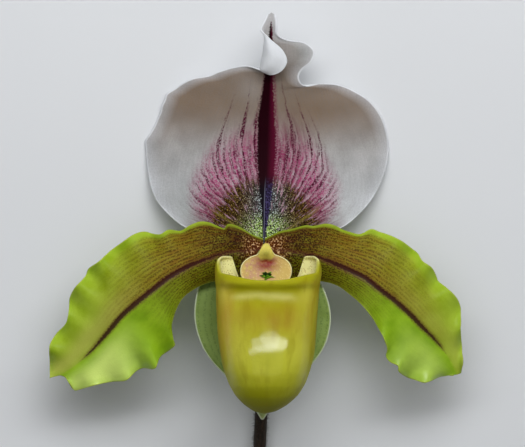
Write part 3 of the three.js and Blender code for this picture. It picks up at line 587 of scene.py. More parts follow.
# %% Petal material
def petal_tissue():
    tree, material = tissue("petal, waxed green tissue")
    mark = {
        name: add(tree, "Attribute", attribute_name=name, out="Fac")
        for name in (
            "upper", "line", "along", "rib", "edge", "bronze", "specks", "centre", "pale", "inner", "tip",
            "front",
        )
    }
    place = add(tree, "Attribute", attribute_name="face", out="Vector")
    flow = add(tree, "CombineXYZ", mark["line"], add(tree, "Math", mark["along"], 0.16, operation="MULTIPLY"))
    streak = add(tree, "TexNoise", Vector=flow, Scale=1.6, Detail=2.0, out="Fac")
    cloud = add(tree, "TexNoise", Vector=place, Scale=0.2, Detail=3.0, out="Fac")
    grain = add(tree, "TexNoise", Vector=place, Scale=2.6, Detail=1.0, out="Fac")
    dots = add(tree, "TexVoronoi", Vector=place, Scale=2.4, out="Distance")

    # Chlorophyll: olive above the midvein and a clearer green below it, paler at the margins.
    cloudy = add(tree, "MapRange", cloud, 0.35, 0.65)
    above = add(tree, "MixRGB", cloudy, "#92ac1c", "#a8c038")
    below = add(tree, "MixRGB", cloudy, "#7ea608", "#96bc1c")
    # Painted light on the lower half towards its tip, stronger on the left petal.
    below = add(tree, "MixRGB", mark["tip"], below, "#e2f880")
    ground = add(tree, "MixRGB", mark["upper"], below, above)
    # Painted sheen: the upper half paler by the midvein, stronger on the left petal.
    ground = add(tree, "MixRGB", mark["pale"], ground, "#b8b856")
    margin = add(tree, "MixRGB", mark["inner"], "#98bc28", "#5c6410")
    ground = add(tree, "MixRGB", add(tree, "MapRange", mark["edge"], 2.0, 0.3, 0.0, 0.35), ground, margin)

    # Bronze: brown pigment in streaks, with darker dotted lines about 1 mm apart.
    bronze_above = add(tree, "MixRGB", mark["inner"], "#84641a", "#522c08")
    bronze_below = add(tree, "MixRGB", mark["inner"], "#6c5e12", "#58440c")
    bronze = add(tree, "MixRGB", mark["upper"], bronze_below, bronze_above)
    streaked = add(tree, "MapRange", streak, 0.3, 0.65, 0.75, 1.0)
    streaked = add(tree, "Math", mark["bronze"], streaked, operation="MULTIPLY")
    ground = add(tree, "MixRGB", streaked, ground, bronze)
    wander = add(tree, "MapRange", streak, 0.3, 0.7, -0.25, 0.25)
    cell = add(tree, "Math", add(tree, "Math", mark["line"], wander, operation="ADD"), operation="FRACT")
    cell = add(tree, "Math", add(tree, "Math", cell, 0.5, operation="SUBTRACT"), operation="ABSOLUTE")
    line = add(tree, "MapRange", cell, 0.46, 0.1, 0.0, 1.0)
    line = add(tree, "Math", line, add(tree, "MapRange", grain, 0.4, 0.54, 0.1, 1.0), operation="MULTIPLY")
    line = add(tree, "Math", line, mark["bronze"], operation="MULTIPLY")
    fading = add(tree, "MapRange", mark["along"], 52.0, 28.0, 0.05, 0.75)
    line = add(tree, "Math", line, fading, operation="MULTIPLY")
    ground = add(tree, "MixRGB", line, ground, "#3a1c04")

    # Specks crowd at the base, on tan, and thin out along the lower half.
    ground = add(tree, "MixRGB", mark["centre"], ground, "#96602a")
    crowd = add(tree, "MapRange", mark["specks"], 0.0, 1.0, 0.02, 0.55)
    more = add(tree, "MapRange", mark["centre"], 0.0, 1.0, 0.0, 0.08)
    crowd = add(tree, "Math", crowd, more, operation="ADD")
    speck = add(tree, "Math", crowd, dots, operation="SUBTRACT")
    speck = add(tree, "MapRange", speck, -0.02, 0.08, 0.0, 0.92)
    ground = add(tree, "MixRGB", speck, ground, add(tree, "MixRGB", mark["centre"], "#2c1204", "#441404"))
    light = add(tree, "Math", add(tree, "MapRange", dots, 0.7, 0.76), mark["centre"], operation="MULTIPLY")
    ground = add(tree, "MixRGB", light, ground, "#ecc898")

    # The midvein, with a faint brown halo.
    rough_edge = add(tree, "MapRange", grain, 0.3, 0.7, -0.12, 0.12)
    rib = add(tree, "Math", mark["rib"], rough_edge, operation="ADD")
    halo = add(tree, "MapRange", rib, -0.7, 0.1, 0.0, 0.55, interpolation_type="SMOOTHSTEP")
    core = add(tree, "MapRange", rib, -0.1, 0.3, 0.0, 0.9, interpolation_type="SMOOTHSTEP")
    ground = add(tree, "MixRGB", halo, ground, "#643824")
    ground = add(tree, "MixRGB", core, ground, "#340e10")

    rim = add(tree, "MapRange", mark["edge"], 0.4, 0.1, 0.0, 0.6, interpolation_type="SMOOTHSTEP")
    ground = add(tree, "MixRGB", rim, ground, add(tree, "MixRGB", mark["inner"], "#bcc850", "#7c8422"))
    back = add(tree, "MixRGB", 0.35, "#94a83c", ground)
    ground = add(tree, "MixRGB", mark["front"], back, ground)

    # Veins raise the skin a little. It is matt where it is brown, and waxy where it is green.
    height = add(tree, "Math", streak, add(tree, "Math", grain, 0.4, operation="MULTIPLY"), operation="ADD")
    bump = add(tree, "Bump", Strength=0.3, Distance=0.0004, Height=height)
    wax = add(tree, "MapRange", mark["along"], 18.0, 50.0, 0.02, 0.7)
    less = add(tree, "MapRange", mark["upper"], 0.0, 1.0, 1.0, 0.2)
    wax = add(tree, "Math", wax, less, operation="MULTIPLY")
    shader = add(
        tree, "BsdfPrincipled", ground, Roughness=0.6, IOR=CUTICLE_IOR, Specular_IOR_Level=0.05, Normal=bump,
        Coat_Weight=wax, Coat_Roughness=0.32,
    )
    add(tree, "OutputMaterial", shader)
    return material


petal_material = petal_tissue()

# %% [markdown]
# ## Petals: shape
#
# Each petal hangs in a sickle from the flower's centre. Its margin grew faster than its middle,
# so it had to buckle into a frill. The margin here is a curve through measured points. Its calm
# sweep shapes the blade, while its small waves and a rising and falling frill only reach the
# outer part, which is how a real petal is: stiff along the midvein and loose at the edge.

# %% Petal outlines
PETALS = {
    "left": {
        "midvein": [
            [-0.2, -1.7, -0.95], [-4.1, -1.8, -0.6], [-8.0, -2.1, -0.2], [-11.8, -3.1, 0.2],
            [-15.7, -4.5, 0.6], [-19.5, -6.2, 0.8], [-23.4, -8.5, 0.8], [-27.3, -11.6, 0.4],
            [-31.2, -14.7, -0.4], [-35.1, -18.3, -1.8], [-39.1, -23.0, -4.0], [-42.4, -26.6, -5.8],
            [-46.6, -30.3, -7.4], [-50.2, -32.6, -8.8],
        ],
        "upper": [
            [-0.2, 1.1, -0.95], [-2.9, 2.1, -1.1], [-6.4, 4.1, -1.4], [-8.8, 4.6, -1.2], [-9.6, 3.5, -1.8],
            [-11.4, 4.1, -1.9], [-13.4, 5.0, -1.6], [-15.7, 5.2, -1.5], [-18.0, 4.3, -1.9],
            [-20.4, 2.9, -2.2], [-23.3, 3.2, -1.6], [-25.4, 2.1, -2.2], [-29.5, 2.7, -2.1],
            [-31.7, 2.1, -2.4], [-34.4, 0.3, -2.6], [-37.6, -2.0, -3.0], [-40.3, -4.5, -3.4],
            [-42.9, -6.3, -4.0], [-43.8, -8.2, -4.2], [-46.4, -11.2, -5.0], [-47.6, -13.5, -5.6],
            [-47.9, -16.9, -6.2], [-48.5, -19.6, -7.0], [-51.1, -22.4, -7.8], [-52.5, -24.8, -8.4],
            [-52.8, -28.7, -9.2], [-52.7, -33.3, -10.0],
        ],
        "lower": [
            [-0.2, -5.0, -1.0], [-4.6, -7.9, -1.2], [-8.3, -9.3, -1.4], [-12.0, -9.3, -1.2],
            [-15.3, -10.3, -0.8], [-17.3, -11.4, -0.4], [-19.6, -13.2, 0.0], [-21.5, -16.7, -0.2],
            [-22.5, -20.6, -1.0], [-22.2, -22.9, -1.4], [-21.7, -24.9, -1.8], [-22.7, -25.9, -2.4],
            [-25.1, -27.6, -3.2], [-25.7, -28.5, -3.6], [-26.5, -30.6, -4.0], [-29.8, -30.7, -4.8],
            [-31.4, -31.5, -5.2], [-33.6, -33.6, -5.6], [-37.3, -34.1, -6.4], [-41.3, -34.9, -7.2],
            [-45.2, -36.1, -8.0], [-46.8, -36.3, -8.6], [-47.7, -34.6, -9.0], [-48.7, -32.9, -9.2],
        ],
        # waves, phase, height and start of the frill along each margin
        "upper_frill": (9, 0.15, 1.5, 0.08),
        "lower_frill": (8, 0.4, 1.4, 0.35),
        # how much painted light the lower half gets towards its tip, and how much painted sheen the upper
        # half gets by the midvein
        "tip": 0.9,
        "pale": 0.65,
        # how far from the centre the brown of the upper half reaches, in mm
        "brown": 58,
    },
    "right": {
        "midvein": [
            [0.2, -1.7, -0.95], [4.3, -1.7, -0.6], [9.0, -2.4, 0.0], [13.5, -3.5, 0.6], [17.2, -5.0, 0.9],
            [20.9, -6.6, 1.0], [24.6, -8.5, 0.8], [27.6, -10.9, 0.4], [31.4, -13.7, -0.6],
            [35.2, -17.1, -1.8], [39.0, -20.9, -3.6], [42.1, -24.0, -5.2], [44.8, -27.4, -7.0],
            [47.6, -32.4, -9.0],
        ],
        "upper": [
            [0.2, 1.1, -0.95], [3.9, 2.8, -1.2], [6.8, 3.4, -1.4], [10.2, 4.3, -1.1], [12.1, 4.1, -1.5],
            [15.0, 4.7, -1.4], [16.9, 4.4, -1.7], [19.2, 3.2, -2.1], [21.0, 2.6, -2.0], [23.3, 2.1, -2.2],
            [26.2, 3.4, -1.8], [28.1, 2.7, -2.1], [31.1, 1.7, -2.4], [33.7, 0.4, -2.6], [36.0, -1.3, -2.9],
            [37.8, -2.8, -3.3], [38.6, -4.3, -3.5], [40.9, -6.0, -3.5], [42.0, -7.8, -3.9],
            [42.6, -9.3, -4.3], [44.7, -11.0, -4.5], [46.9, -13.1, -5.0], [48.1, -15.4, -5.6],
            [48.3, -17.3, -6.0], [48.2, -21.4, -7.0], [48.7, -25.6, -7.8], [48.8, -30.2, -9.2],
            [48.5, -32.1, -9.8],
        ],
        "lower": [
            [0.2, -5.0, -1.0], [4.4, -7.9, -1.2], [8.8, -9.3, -1.4], [14.1, -9.3, -1.0], [18.0, -10.4, -0.4],
            [21.0, -12.6, 0.0], [23.2, -14.5, 0.2], [25.8, -17.5, -0.2], [27.7, -20.4, -0.6],
            [29.4, -23.8, -1.3], [30.1, -26.1, -1.8], [29.8, -27.8, -2.4], [30.8, -29.1, -3.0],
            [32.7, -30.1, -3.6], [32.9, -31.4, -4.0], [34.7, -32.8, -4.8], [36.9, -33.6, -5.4],
            [39.5, -34.2, -6.2], [43.4, -32.9, -7.6], [46.5, -32.6, -9.0],
        ],
        "upper_frill": (8, 0.55, 1.5, 0.08),
        "lower_frill": (7, 0.1, 1.4, 0.35),
        "tip": 0.35,
        "pale": 0.35,
        "brown": 64,
    },
}
PETAL_CURL, PETAL_CALM, PETAL_THICKNESS = 1.5, 0.09, 0.9
UPPER_VEINS, LOWER_VEINS = 13, 10


def half_blade(midvein, margin, ripple, curl, window, s, v):
    """A grid of one half, with s from the midvein (0) to the margin (1) and v along, and its width."""
    middle, edge, sweep = midvein(v), margin(v), calm(margin, v, window)
    point = middle[:, None] + (sweep - middle)[:, None] * s[None, :, None]
    bent = (sweep[:, 2] - middle[:, 2])[:, None] * s[None, :] ** curl
    point[..., 2] = middle[:, 2][:, None] + bent + ripple(v)[:, None] * s[None, :] ** 3
    point += (edge - sweep)[:, None] * s[None, :, None] ** 4
    return point, np.linalg.norm(edge - middle, axis=1)


def frill(waves, phase, height, start):
    """Waves along a margin that grow out of nothing, each a little unlike the last."""
    def at(v):
        uneven = 1 + 0.35 * np.sin(2 * np.pi * (waves * 0.37 * v + phase))
        return height * soft(v, start, start + 0.3) * uneven * np.sin(2 * np.pi * (waves * v + phase))
    return at


def petal_marks(shape, middle, signed, width, v, length):
    """Marks of a petal, from shares across (1 at the upper margin, -1 at the lower) and along."""
    across_mm, along_mm = signed * width, v * length + 0 * width
    edge = np.minimum((1 - np.abs(signed)) * width, (1 - v) * length)
    is_upper = soft(across_mm, -0.5, 0.5)
    green_margin = 0.5 + 0.0022 * along_mm**2
    reach_up = soft(along_mm + 1.2 * across_mm, shape["brown"], 23)
    reach_up = reach_up * soft(edge, 0.3 * green_margin, 1.15 * green_margin)
    reach_down = soft(along_mm - 0.5 * across_mm, 42, 18) * 0.95
    half_rib = 0.13 + 0.54 * soft(along_mm, 4, 24) * soft(v, 0.95, 0.66) - 0.8 * soft(v, 0.84, 0.93)
    lower_specks = 0.68 * (1 - is_upper) * soft(along_mm, 38, 12) * soft(edge, 0, 1)
    from_centre = np.hypot(middle[..., 0] - 0.3, middle[..., 1] + 1.6)
    return {
        "upper": is_upper,
        "line": signed * np.where(signed > 0, UPPER_VEINS, LOWER_VEINS),
        "along": along_mm,
        "rib": half_rib - np.abs(across_mm),
        "edge": edge,
        "bronze": is_upper * reach_up + (1 - is_upper) * reach_down,
        "inner": soft(along_mm, 22, 5),
        "specks": np.maximum(soft(along_mm, 26, 5), lower_specks) * soft(edge, 0.2, 1.4),
        "centre": 0.9 * soft(from_centre, 7.5, 2) * soft(edge, 0.4, 1.8),
        # Painted light towards the lower tip.
        "tip": shape["tip"] * soft(along_mm, 35, 50) * soft(across_mm, 0, -5),
        # Painted sheen on the upper half by the midvein.
        "pale": shape["pale"] * is_upper * soft(v, 0.42, 0.6) * hill(across_mm, 2.4, 2.8),
    }


def petal(side, across=36, along=220):
    shape = PETALS[side]
    midvein, length = paced(spline(shape["midvein"]))
    s, v = np.linspace(0, 1, across + 1), np.linspace(0, 1, along + 1)
    halves = []
    for half in ("upper", "lower"):
        margin, waves = paced(spline(shape[half]))[0], frill(*shape[half + "_frill"])
        halves.append(half_blade(midvein, margin, waves, PETAL_CURL, PETAL_CALM, s, v))
    (upper, upper_width), (lower, lower_width) = halves
    middle = np.concatenate([upper[:, :0:-1], lower], axis=1)
    signed, v = np.concatenate([s[:0:-1], -s])[None, :], v[:, None]
    width = np.where(signed > 0, upper_width[:, None], lower_width[:, None])
    marks = petal_marks(shape, middle, signed, width, v, length)
    groove = -0.3 * hill(signed * width, 0, 0.8) * soft(v, 0, 0.1) * soft(v, 1, 0.8)
    return blade(middle, thinned(PETAL_THICKNESS, marks["edge"], 5), marks, groove)


for side in PETALS:
    make_piece(f"petal_{side}_tissue", *petal(side), petal_material, "petal", f"petal_{side}")

# %% [markdown]
# ## Lower sepals
#
# The two lower sepals have grown together into one cup behind the pouch. They have less wax and
# more air than the petals, so they look paler and bluer, with fine dotted veins and a thin
# white margin.

# %% Lower sepals
SYNSEPAL = {
    "midvein": [
        [0.0, -3.1, -2.1], [0.0, -6.0, -3.2], [0.0, -10.5, -4.6], [0.1, -16.0, -5.3], [0.2, -24.0, -5.6],
        [0.0, -32.0, -4.4], [-0.2, -38.5, -2.6], [-0.4, -43.0, -1.0],
    ],
    "left": [
        [-2.6, -2.7, -2.4], [-10.5, -4.6, -4.2], [-15.0, -8.6, -3.8], [-16.8, -14.4, -3.2],
        [-16.8, -19.6, -3.2], [-15.0, -25.4, -3.2], [-12.3, -29.4, -3.1], [-8.8, -32.9, -2.8],
        [-5.2, -36.8, -2.0], [-2.5, -40.0, -1.4], [-0.7, -42.8, -0.9],
    ],
    "right": [
        [2.6, -2.7, -2.4], [9.6, -4.6, -4.2], [13.5, -9.2, -3.8], [15.7, -14.2, -3.2],
        [16.3, -19.2, -3.2], [14.9, -25.0, -3.2], [11.8, -29.5, -3.1], [8.4, -33.1, -2.6],
        [4.7, -36.8, -1.9], [1.8, -40.0, -1.4], [-0.1, -42.8, -0.9],
    ],
}
SYNSEPAL_CURL, SYNSEPAL_CALM, SYNSEPAL_THICKNESS, SYNSEPAL_VEINS = 1.8, 0.02, 0.8, 11


def synsepal_tissue():
    tree, material = tissue("lower sepals, pale green tissue")
    mark = {
        name: add(tree, "Attribute", attribute_name=name, out="Fac")
        for name in ("line", "along", "edge")
    }
    place = add(tree, "Attribute", attribute_name="face", out="Vector")
    grain = add(tree, "TexNoise", Vector=place, Scale=2.4, Detail=1.0, out="Fac")
    blotch = add(tree, "TexNoise", Vector=place, Scale=0.2, Detail=2.0, out="Fac")
    ground = add(tree, "MixRGB", add(tree, "MapRange", blotch, 0.35, 0.65), "#869e4c", "#9cb462")
    ground = add(tree, "MixRGB", add(tree, "MapRange", mark["line"], 2.0, -8.0, 0.0, 0.5), ground, "#6a7e3c")
    pale_tip = add(tree, "MapRange", mark["along"], 38.0, 42.0, 0.0, 0.8)
    ground = add(tree, "MixRGB", pale_tip, ground, "#d8dca0")
    cell = add(tree, "Math", add(tree, "Math", mark["line"], operation="FRACT"), 0.5, operation="SUBTRACT")
    line = add(tree, "MapRange", add(tree, "Math", cell, operation="ABSOLUTE"), 0.3, 0.06)
    line = add(tree, "Math", line, add(tree, "MapRange", grain, 0.45, 0.62, 0.0, 0.45), operation="MULTIPLY")
    ground = add(tree, "MixRGB", line, ground, "#4c6630")
    rim = add(tree, "MapRange", mark["edge"], 0.35, 0.1, 0.0, 0.75, interpolation_type="SMOOTHSTEP")
    ground = add(tree, "MixRGB", rim, ground, "#dfe6cc")
    bump = add(tree, "Bump", Strength=0.2, Distance=0.0003, Height=grain)
    shader = add(
        tree, "BsdfPrincipled", ground, Roughness=0.55, IOR=CUTICLE_IOR, Specular_IOR_Level=0.2, Normal=bump,
    )
    add(tree, "OutputMaterial", shader)
    return material


def synsepal(across=26, along=130):
    midvein, length = paced(spline(SYNSEPAL["midvein"]))
    s, v = np.linspace(0, 1, across + 1), np.linspace(0, 1, along + 1)
    margins = [paced(spline(SYNSEPAL[half]))[0] for half in ("left", "right")]
    no_waves = np.zeros_like
    (left, left_width), (right, right_width) = [
        half_blade(midvein, margin, no_waves, SYNSEPAL_CURL, SYNSEPAL_CALM, s, v) for margin in margins
    ]
    middle = np.concatenate([left[:, :0:-1], right], axis=1)
    signed = np.concatenate([-s[:0:-1], s])
    width = np.where(signed[None, :] < 0, left_width[:, None], right_width[:, None])
    edge = np.minimum((1 - np.abs(signed)[None, :]) * width, (1 - v[:, None]) * length)
    marks = {"line": signed[None, :] * SYNSEPAL_VEINS, "along": v[:, None] * length, "edge": edge}
    return blade(middle, thinned(SYNSEPAL_THICKNESS, edge, 3), marks)


make_piece("synsepal_tissue", *synsepal(), synsepal_tissue(), "synsepal", "synsepal")

# %% [markdown]
# ## Lip: pigment
#
# The lip is a pouch of thick, waxed tissue, the glossiest organ of the flower. It is
# yellow-green with amber where red pigment lies under the yellow, mostly along its sides, and
# faint veins run down it. A clear coat over a matt base makes one crisp highlight and leaves
# the colour round it deep. The ears' inner faces are cream with small brown freckles.

# %% Lip material
def lip_tissue():
    tree, material = tissue("lip, thick waxed tissue")
    mark = {
        name: add(tree, "Attribute", attribute_name=name, out="Fac")
        for name in (
            "turn", "down", "amber", "flush", "glow", "band", "rim", "inside", "ridge", "seam", "foot", "wax",
        )
    }
    place = add(tree, "Attribute", attribute_name="face", out="Vector")
    flow = add(tree, "CombineXYZ", mark["turn"], add(tree, "Math", mark["down"], 1.1, operation="MULTIPLY"))
    streak = add(tree, "TexNoise", Vector=flow, Scale=5.0, Detail=3.0, out="Fac")
    cloud = add(tree, "TexNoise", Vector=place, Scale=0.13, Detail=3.0, out="Fac")
    grain = add(tree, "TexNoise", Vector=place, Scale=2.2, Detail=1.0, out="Fac")
    dots = add(tree, "TexVoronoi", Vector=place, Scale=1.9, out="Distance")

    ground = add(tree, "MixRGB", add(tree, "MapRange", cloud, 0.35, 0.65), "#a6a614", "#b8b82e")
    streaked = add(tree, "MapRange", streak, 0.35, 0.62, 0.5, 1.0)
    for name, colour in (("amber", "#9a7c14"), ("flush", "#c6983c")):
        share = add(tree, "Math", mark[name], streaked, operation="MULTIPLY")
        ground = add(tree, "MixRGB", share, ground, colour)
    # Painted light on the flanks and at the feet of the ears.
    ground = add(tree, "MixRGB", mark["glow"], ground, "#d8d254")
    # Darker olive at the toe, partly a deeper tint and partly painted shade.
    ground = add(tree, "MixRGB", mark["foot"], ground, "#7a7706")
    # Painted shade in the groove under the front rim.
    ground = add(tree, "MixRGB", mark["band"], ground, "#868002")
    # A painted highlight along the ridge under the groove, uneven in strength.
    uneven = add(tree, "MapRange", cloud, 0.3, 0.7, 0.5, 1.3)
    ridge = add(tree, "Math", mark["ridge"], uneven, operation="MULTIPLY")
    ground = add(tree, "MixRGB", ridge, ground, "#dcd484")
    ground = add(tree, "MixRGB", mark["rim"], ground, "#aaa618")
    vein = add(tree, "MapRange", streak, 0.54, 0.64, 0.0, 0.4)
    ground = add(tree, "MixRGB", vein, ground, "#948a14")
    ground = add(tree, "MixRGB", mark["seam"], ground, "#8d8a18")
    freckle = add(tree, "MapRange", dots, 0.34, 0.2, 0.0, 0.6)
    inner = add(tree, "MixRGB", freckle, "#f6f0a6", "#a48c38")
    ground = add(tree, "MixRGB", mark["inside"], ground, inner)

    height = add(tree, "Math", streak, grain, operation="ADD")
    bump = add(tree, "Bump", Strength=0.15, Distance=0.0003, Height=height)
    shader = add(
        tree, "BsdfPrincipled", ground, Roughness=0.6, IOR=CUTICLE_IOR, Specular_IOR_Level=0.05, Normal=bump,
        Subsurface_Weight=0.05, Subsurface_Radius=(0.002, 0.0015, 0.0003), Subsurface_Scale=1.0,
        Coat_Weight=mark["wax"], Coat_Roughness=0.12, Coat_IOR=1.5,
    )
    add(tree, "OutputMaterial", shader)
    return material


# %% [markdown]
# ## Lip: shape
#
# The pouch is a cup that is set with its mouth towards the dorsal sepal. Its levels are nearly
# oval, fuller at the corners, and each level has its own width, front and back. The rim is low
# in front, rises to an ear on each side, and dips again before the claw that holds the pouch to
# the column. The wall is the outer skin moved in by a millimetre, or half as much at the ears'
# tops, and closes in a round rim.

# %% Lip levels and rim
LIP_LEVELS = np.array([
    # height, half width, front, back, sideways shift, in face millimetres
    [-3.0, 11.0, 15.6, 2.8, 1.0], [-3.9, 12.2, 16.8, 2.2, 1.0], [-5.4, 12.7, 18.4, 2.1, 1.0],
    [-7.4, 12.8, 20.0, 2.2, 1.0], [-9.3, 12.6, 20.7, 2.4, 0.9], [-11.0, 12.4, 19.9, 2.5, 0.9],
    [-13.3, 12.3, 20.5, 2.7, 0.8], [-17.8, 12.0, 22.7, 3.0, 0.7], [-22.0, 11.7, 24.6, 3.4, 0.7],
    [-26.2, 11.2, 25.7, 4.0, 0.8], [-30.2, 10.3, 26.0, 5.0, 0.7], [-33.4, 9.1, 24.8, 6.4, 0.7],
    [-36.2, 7.4, 22.4, 8.0, 0.6], [-38.5, 5.0, 19.4, 9.8, 0.4], [-40.0, 2.5, 16.6, 11.6, 0.2],
    [-40.6, 0.0, 14.2, 14.2, 0.1],
])
LIP_RIM = [
    # angle from the front in degrees, height
    [0, -9.0], [13, -8.8], [25, -8.3], [36, -7.8], [46, -7.5], [56, -7.3], [64, -7.0], [70, -6.0],
    [74, -4.9], [80, -3.9], [90, -3.3], [103, -3.1], [118, -3.1], [128, -3.2], [134, -3.5], [139, -4.3],
    [143, -5.6], [146, -7.1], [149, -8.5], [155, -9.2], [163, -8.6], [171, -6.0], [180, -4.9],
]
LIP_FULLNESS = 0.87
LIP_WIDEST = 0.42
LIP_THICKNESS, EAR_THINNING = 1.0, 0.5
# the rim's three points, as shares of the wall: how far in, and how far up
LIP_ROUNDING = ((0.15, 0.22), (0.5, 0.36), (0.85, 0.22))
lip_place = spline(np.c_[LIP_LEVELS[:, 4], LIP_LEVELS[:, 0], 0 * LIP_LEVELS[:, 0]])
lip_reach = spline(LIP_LEVELS[:, 1:4])


def lip_point(degrees, level):
    """A point of the outer skin, by its angle from the front and its level, from 0 on top to 1."""
    place = lip_place(level)
    half, front, back = np.moveaxis(lip_reach(level), -1, 0)
    angle = np.radians(degrees)
    full = [np.sign(value) * np.abs(value) ** LIP_FULLNESS for value in (np.sin(angle), np.cos(angle))]
    widest = back + (front - back) * LIP_WIDEST
    depth = np.where(np.cos(angle) > 0, front - widest, widest - back)
    return np.stack([place[..., 0] + half * full[0], place[..., 1], widest + depth * full[1]], -1)


def lip_sides(degrees):
    """How much each column of points lies in front, and how much on an ear."""
    facing = np.cos(np.radians(degrees))[None, :]
    return soft(facing, 0.2, 0.75), soft(facing, 0.35, 0.1)


def lip_marks(stack, level, degrees, heights):
    """Marks of the outer skin from the foot up, then of the rim, then of the inner skin."""
    front_side, on_ear = lip_sides(degrees)
    on_rim = len(LIP_ROUNDING)
    below = stack[..., 1] - np.broadcast_to(heights, stack.shape[:2])
    x, y = stack[..., 0], stack[..., 1]
    edge_on = np.linspace(0.1, 0.9, on_rim)[:, None] * (0.35 + 0.65 * on_ear)
    pale_top = 0.8 * on_ear * soft(below[: len(level)], -0.7, 0) + 0 * level
    sides = soft(np.abs(x - 0.8), 5.5, 11.5)
    front_amber = 0.7 * hill(y, -17, 5) + 0.5 * hill(x, 4, 3) * hill(y, -18, 2.5)
    amber = 0.7 * sides * soft(y, -36, -16) + (1 - sides) * front_amber
    return {
        "turn": np.broadcast_to(degrees / 90, stack.shape[:2]),
        "down": np.concatenate([level[::-1], np.repeat(level[:1], on_rim, 0), level]),
        "amber": np.clip(amber, 0, 1),
        "flush": 0.5 * hill(x, -9.2, 2.2) * soft(y, -31, -22) * soft(y, -9, -12),
        # Painted light on the flanks and at the feet of the ears.
        "glow": (0.4 * hill(x, -6, 3.2) + 0.3 * hill(x, 8.5, 3)) * hill(y, -24, 7)
        + 0.45 * hill(np.abs(x - 0.3), 9.6, 1.6) * hill(y, -12, 2.5),
        # Painted shade in the groove under the front rim.
        "band": 0.8 * hill(y, -10.6, 1.3) * front_side * soft(np.abs(x - 0.7), 10.5, 6),
        # A painted highlight along the ridge under the groove.
        "ridge": 0.5 * hill(y, -12.2 - 0.08 * np.abs(x + 1.5), 0.8) * front_side
        * soft(np.abs(x - 0.2), 9.5, 5),
        "rim": soft(below, -2.0, -0.8),
        "seam": 0.25 * hill(x, 0.7, 0.25) * soft(y, -25, -28) * front_side,
        # Darker olive at the toe, partly a deeper tint and partly painted shade.
        "foot": 0.75 * soft(y, -33, -40),
        "wax": 0.06 + 0.74 * soft(y, -13.5, -18) * soft(y, -36, -29) * soft(np.abs(x - 0.7), 10.5, 8),
        "inside": np.concatenate([pale_top, np.maximum(edge_on, 0.9 * on_ear), np.ones_like(level)]),
    }


def lip(finer=4, down=84):
    share = np.linspace(0, 1, finer * (len(LIP_RIM) - 1) + 1)
    half_rim = spline([[angle, y, 0] for angle, y in LIP_RIM])(share)
    degrees = np.r_[half_rim[:, 0], -half_rim[-2:0:-1, 0]]
    heights = np.r_[half_rim[:, 1], half_rim[-2:0:-1, 1]]
    # Each column of points starts at the level where its rim lies.
    table = np.linspace(0, 0.6, 3000)
    start = np.interp(-heights, -lip_place(table)[:, 1], table)
    level = start[None, :] + (1 - start)[None, :] * np.linspace(0, 1, down + 1)[:-1, None]
    turned = np.broadcast_to(degrees[None, :], level.shape)
    outer = lip_point(turned, level)
    around = lip_point(turned + 3, level) - lip_point(turned - 3, level)
    lower, higher = np.minimum(level + 0.03, 1), np.maximum(level - 0.03, 0)
    downwards = lip_point(turned, lower) - lip_point(turned, higher)
    thin = EAR_THINNING * lip_sides(degrees)[1] * soft(outer[..., 1] - heights, -3, -0.5)
    wall = unit(np.cross(around, downwards)) * LIP_THICKNESS * (1 - thin)[..., None]
    rise = -unit(downwards[0]) * LIP_THICKNESS * (1 - thin[0])[:, None]
    lips = [outer[0] + wall[0] * inwards + rise * upwards for inwards, upwards in LIP_ROUNDING]
    stack = np.concatenate([outer[::-1], np.stack(lips), outer + wall])

    # The skin's two end caps have a middle point each, which need marks of their own.
    marks = lip_marks(stack, level, degrees, heights)
    ends = {"down": 1, "foot": 1}
    flat = {key: np.r_[np.ravel(value), [ends.get(key, 0)] * 2] for key, value in marks.items()}
    flat["inside"][-1] = 1
    return *rings(stack), flat


make_piece("lip_tissue", *lip(), lip_tissue(), "lip", "lip")

# %% [markdown]
# ## Staminode
#
# The staminode is a stamen that became a shield over the pouch's mouth. It is domed, with a
# knob at the top, a groove under the knob and a green wart near the middle. Its skin is covered
# with minute pimples that break up the pink and tan.

# %% Staminode
SHIELD_CENTRE = np.array([0.5, -6.7, 9.7])
SHIELD_HALF_WIDTH, SHIELD_RISE, SHIELD_DROP, SHIELD_FULLNESS = 6.2, 4.2, 4.4, 0.85
SHIELD_THICKNESS, SHIELD_DOME = 0.9, 1.2
KNOB_HEIGHT, KNOB_WIDTH, KNOB_LIFT = 2.5, 1.45, 0.3
WART_PLACE, WART_SIZE = (0.15, -1.0), (1.35, 0.85)


def staminode_tissue():
    tree, material = tissue("staminode, pimpled tissue")
    mark = {
        name: add(tree, "Attribute", attribute_name=name, out="Fac")
        for name in ("knob", "spot", "pink", "blush", "wart", "rim")
    }
    place = add(tree, "Attribute", attribute_name="face", out="Vector")
    pimples = add(tree, "TexVoronoi", Vector=place, Scale=1.7, out="Distance")
    mottle = add(tree, "TexNoise", Vector=place, Scale=0.9, Detail=3.0, out="Fac")
    pink = add(tree, "Math", add(tree, "MapRange", mottle, 0.38, 0.6), mark["pink"], operation="MULTIPLY")
    ground = add(tree, "MixRGB", pink, "#dabc6e", "#d4a486")
    ground = add(tree, "MixRGB", add(tree, "MapRange", pimples, 0.32, 0.12, 0.0, 0.6), ground, "#f2e2a4")
    mottled = add(tree, "MapRange", mottle, 0.3, 0.6, 0.8, 1.1)
    blush = add(tree, "Math", mark["blush"], mottled, operation="MULTIPLY")
    ground = add(tree, "MixRGB", blush, ground, "#86281a")
    ground = add(tree, "MixRGB", mark["knob"], ground, "#dacb5c")
    ground = add(tree, "MixRGB", mark["spot"], ground, "#6c6c0a")
    ground = add(tree, "MixRGB", mark["rim"], ground, "#f6ecb0")
    wart = add(tree, "MixRGB", add(tree, "MapRange", mottle, 0.45, 0.56), "#103002", "#6c9c1c")
    ground = add(tree, "MixRGB", mark["wart"], ground, wart)
    bump = add(tree, "Bump", Strength=0.5, Distance=0.0002, Height=pimples, invert=True)
    shader = add(
        tree, "BsdfPrincipled", ground, Roughness=0.5, IOR=CUTICLE_IOR, Specular_IOR_Level=0.1, Normal=bump,
        Coat_Weight=0.1, Coat_Roughness=0.15,
    )
    add(tree, "OutputMaterial", shader)
    return material


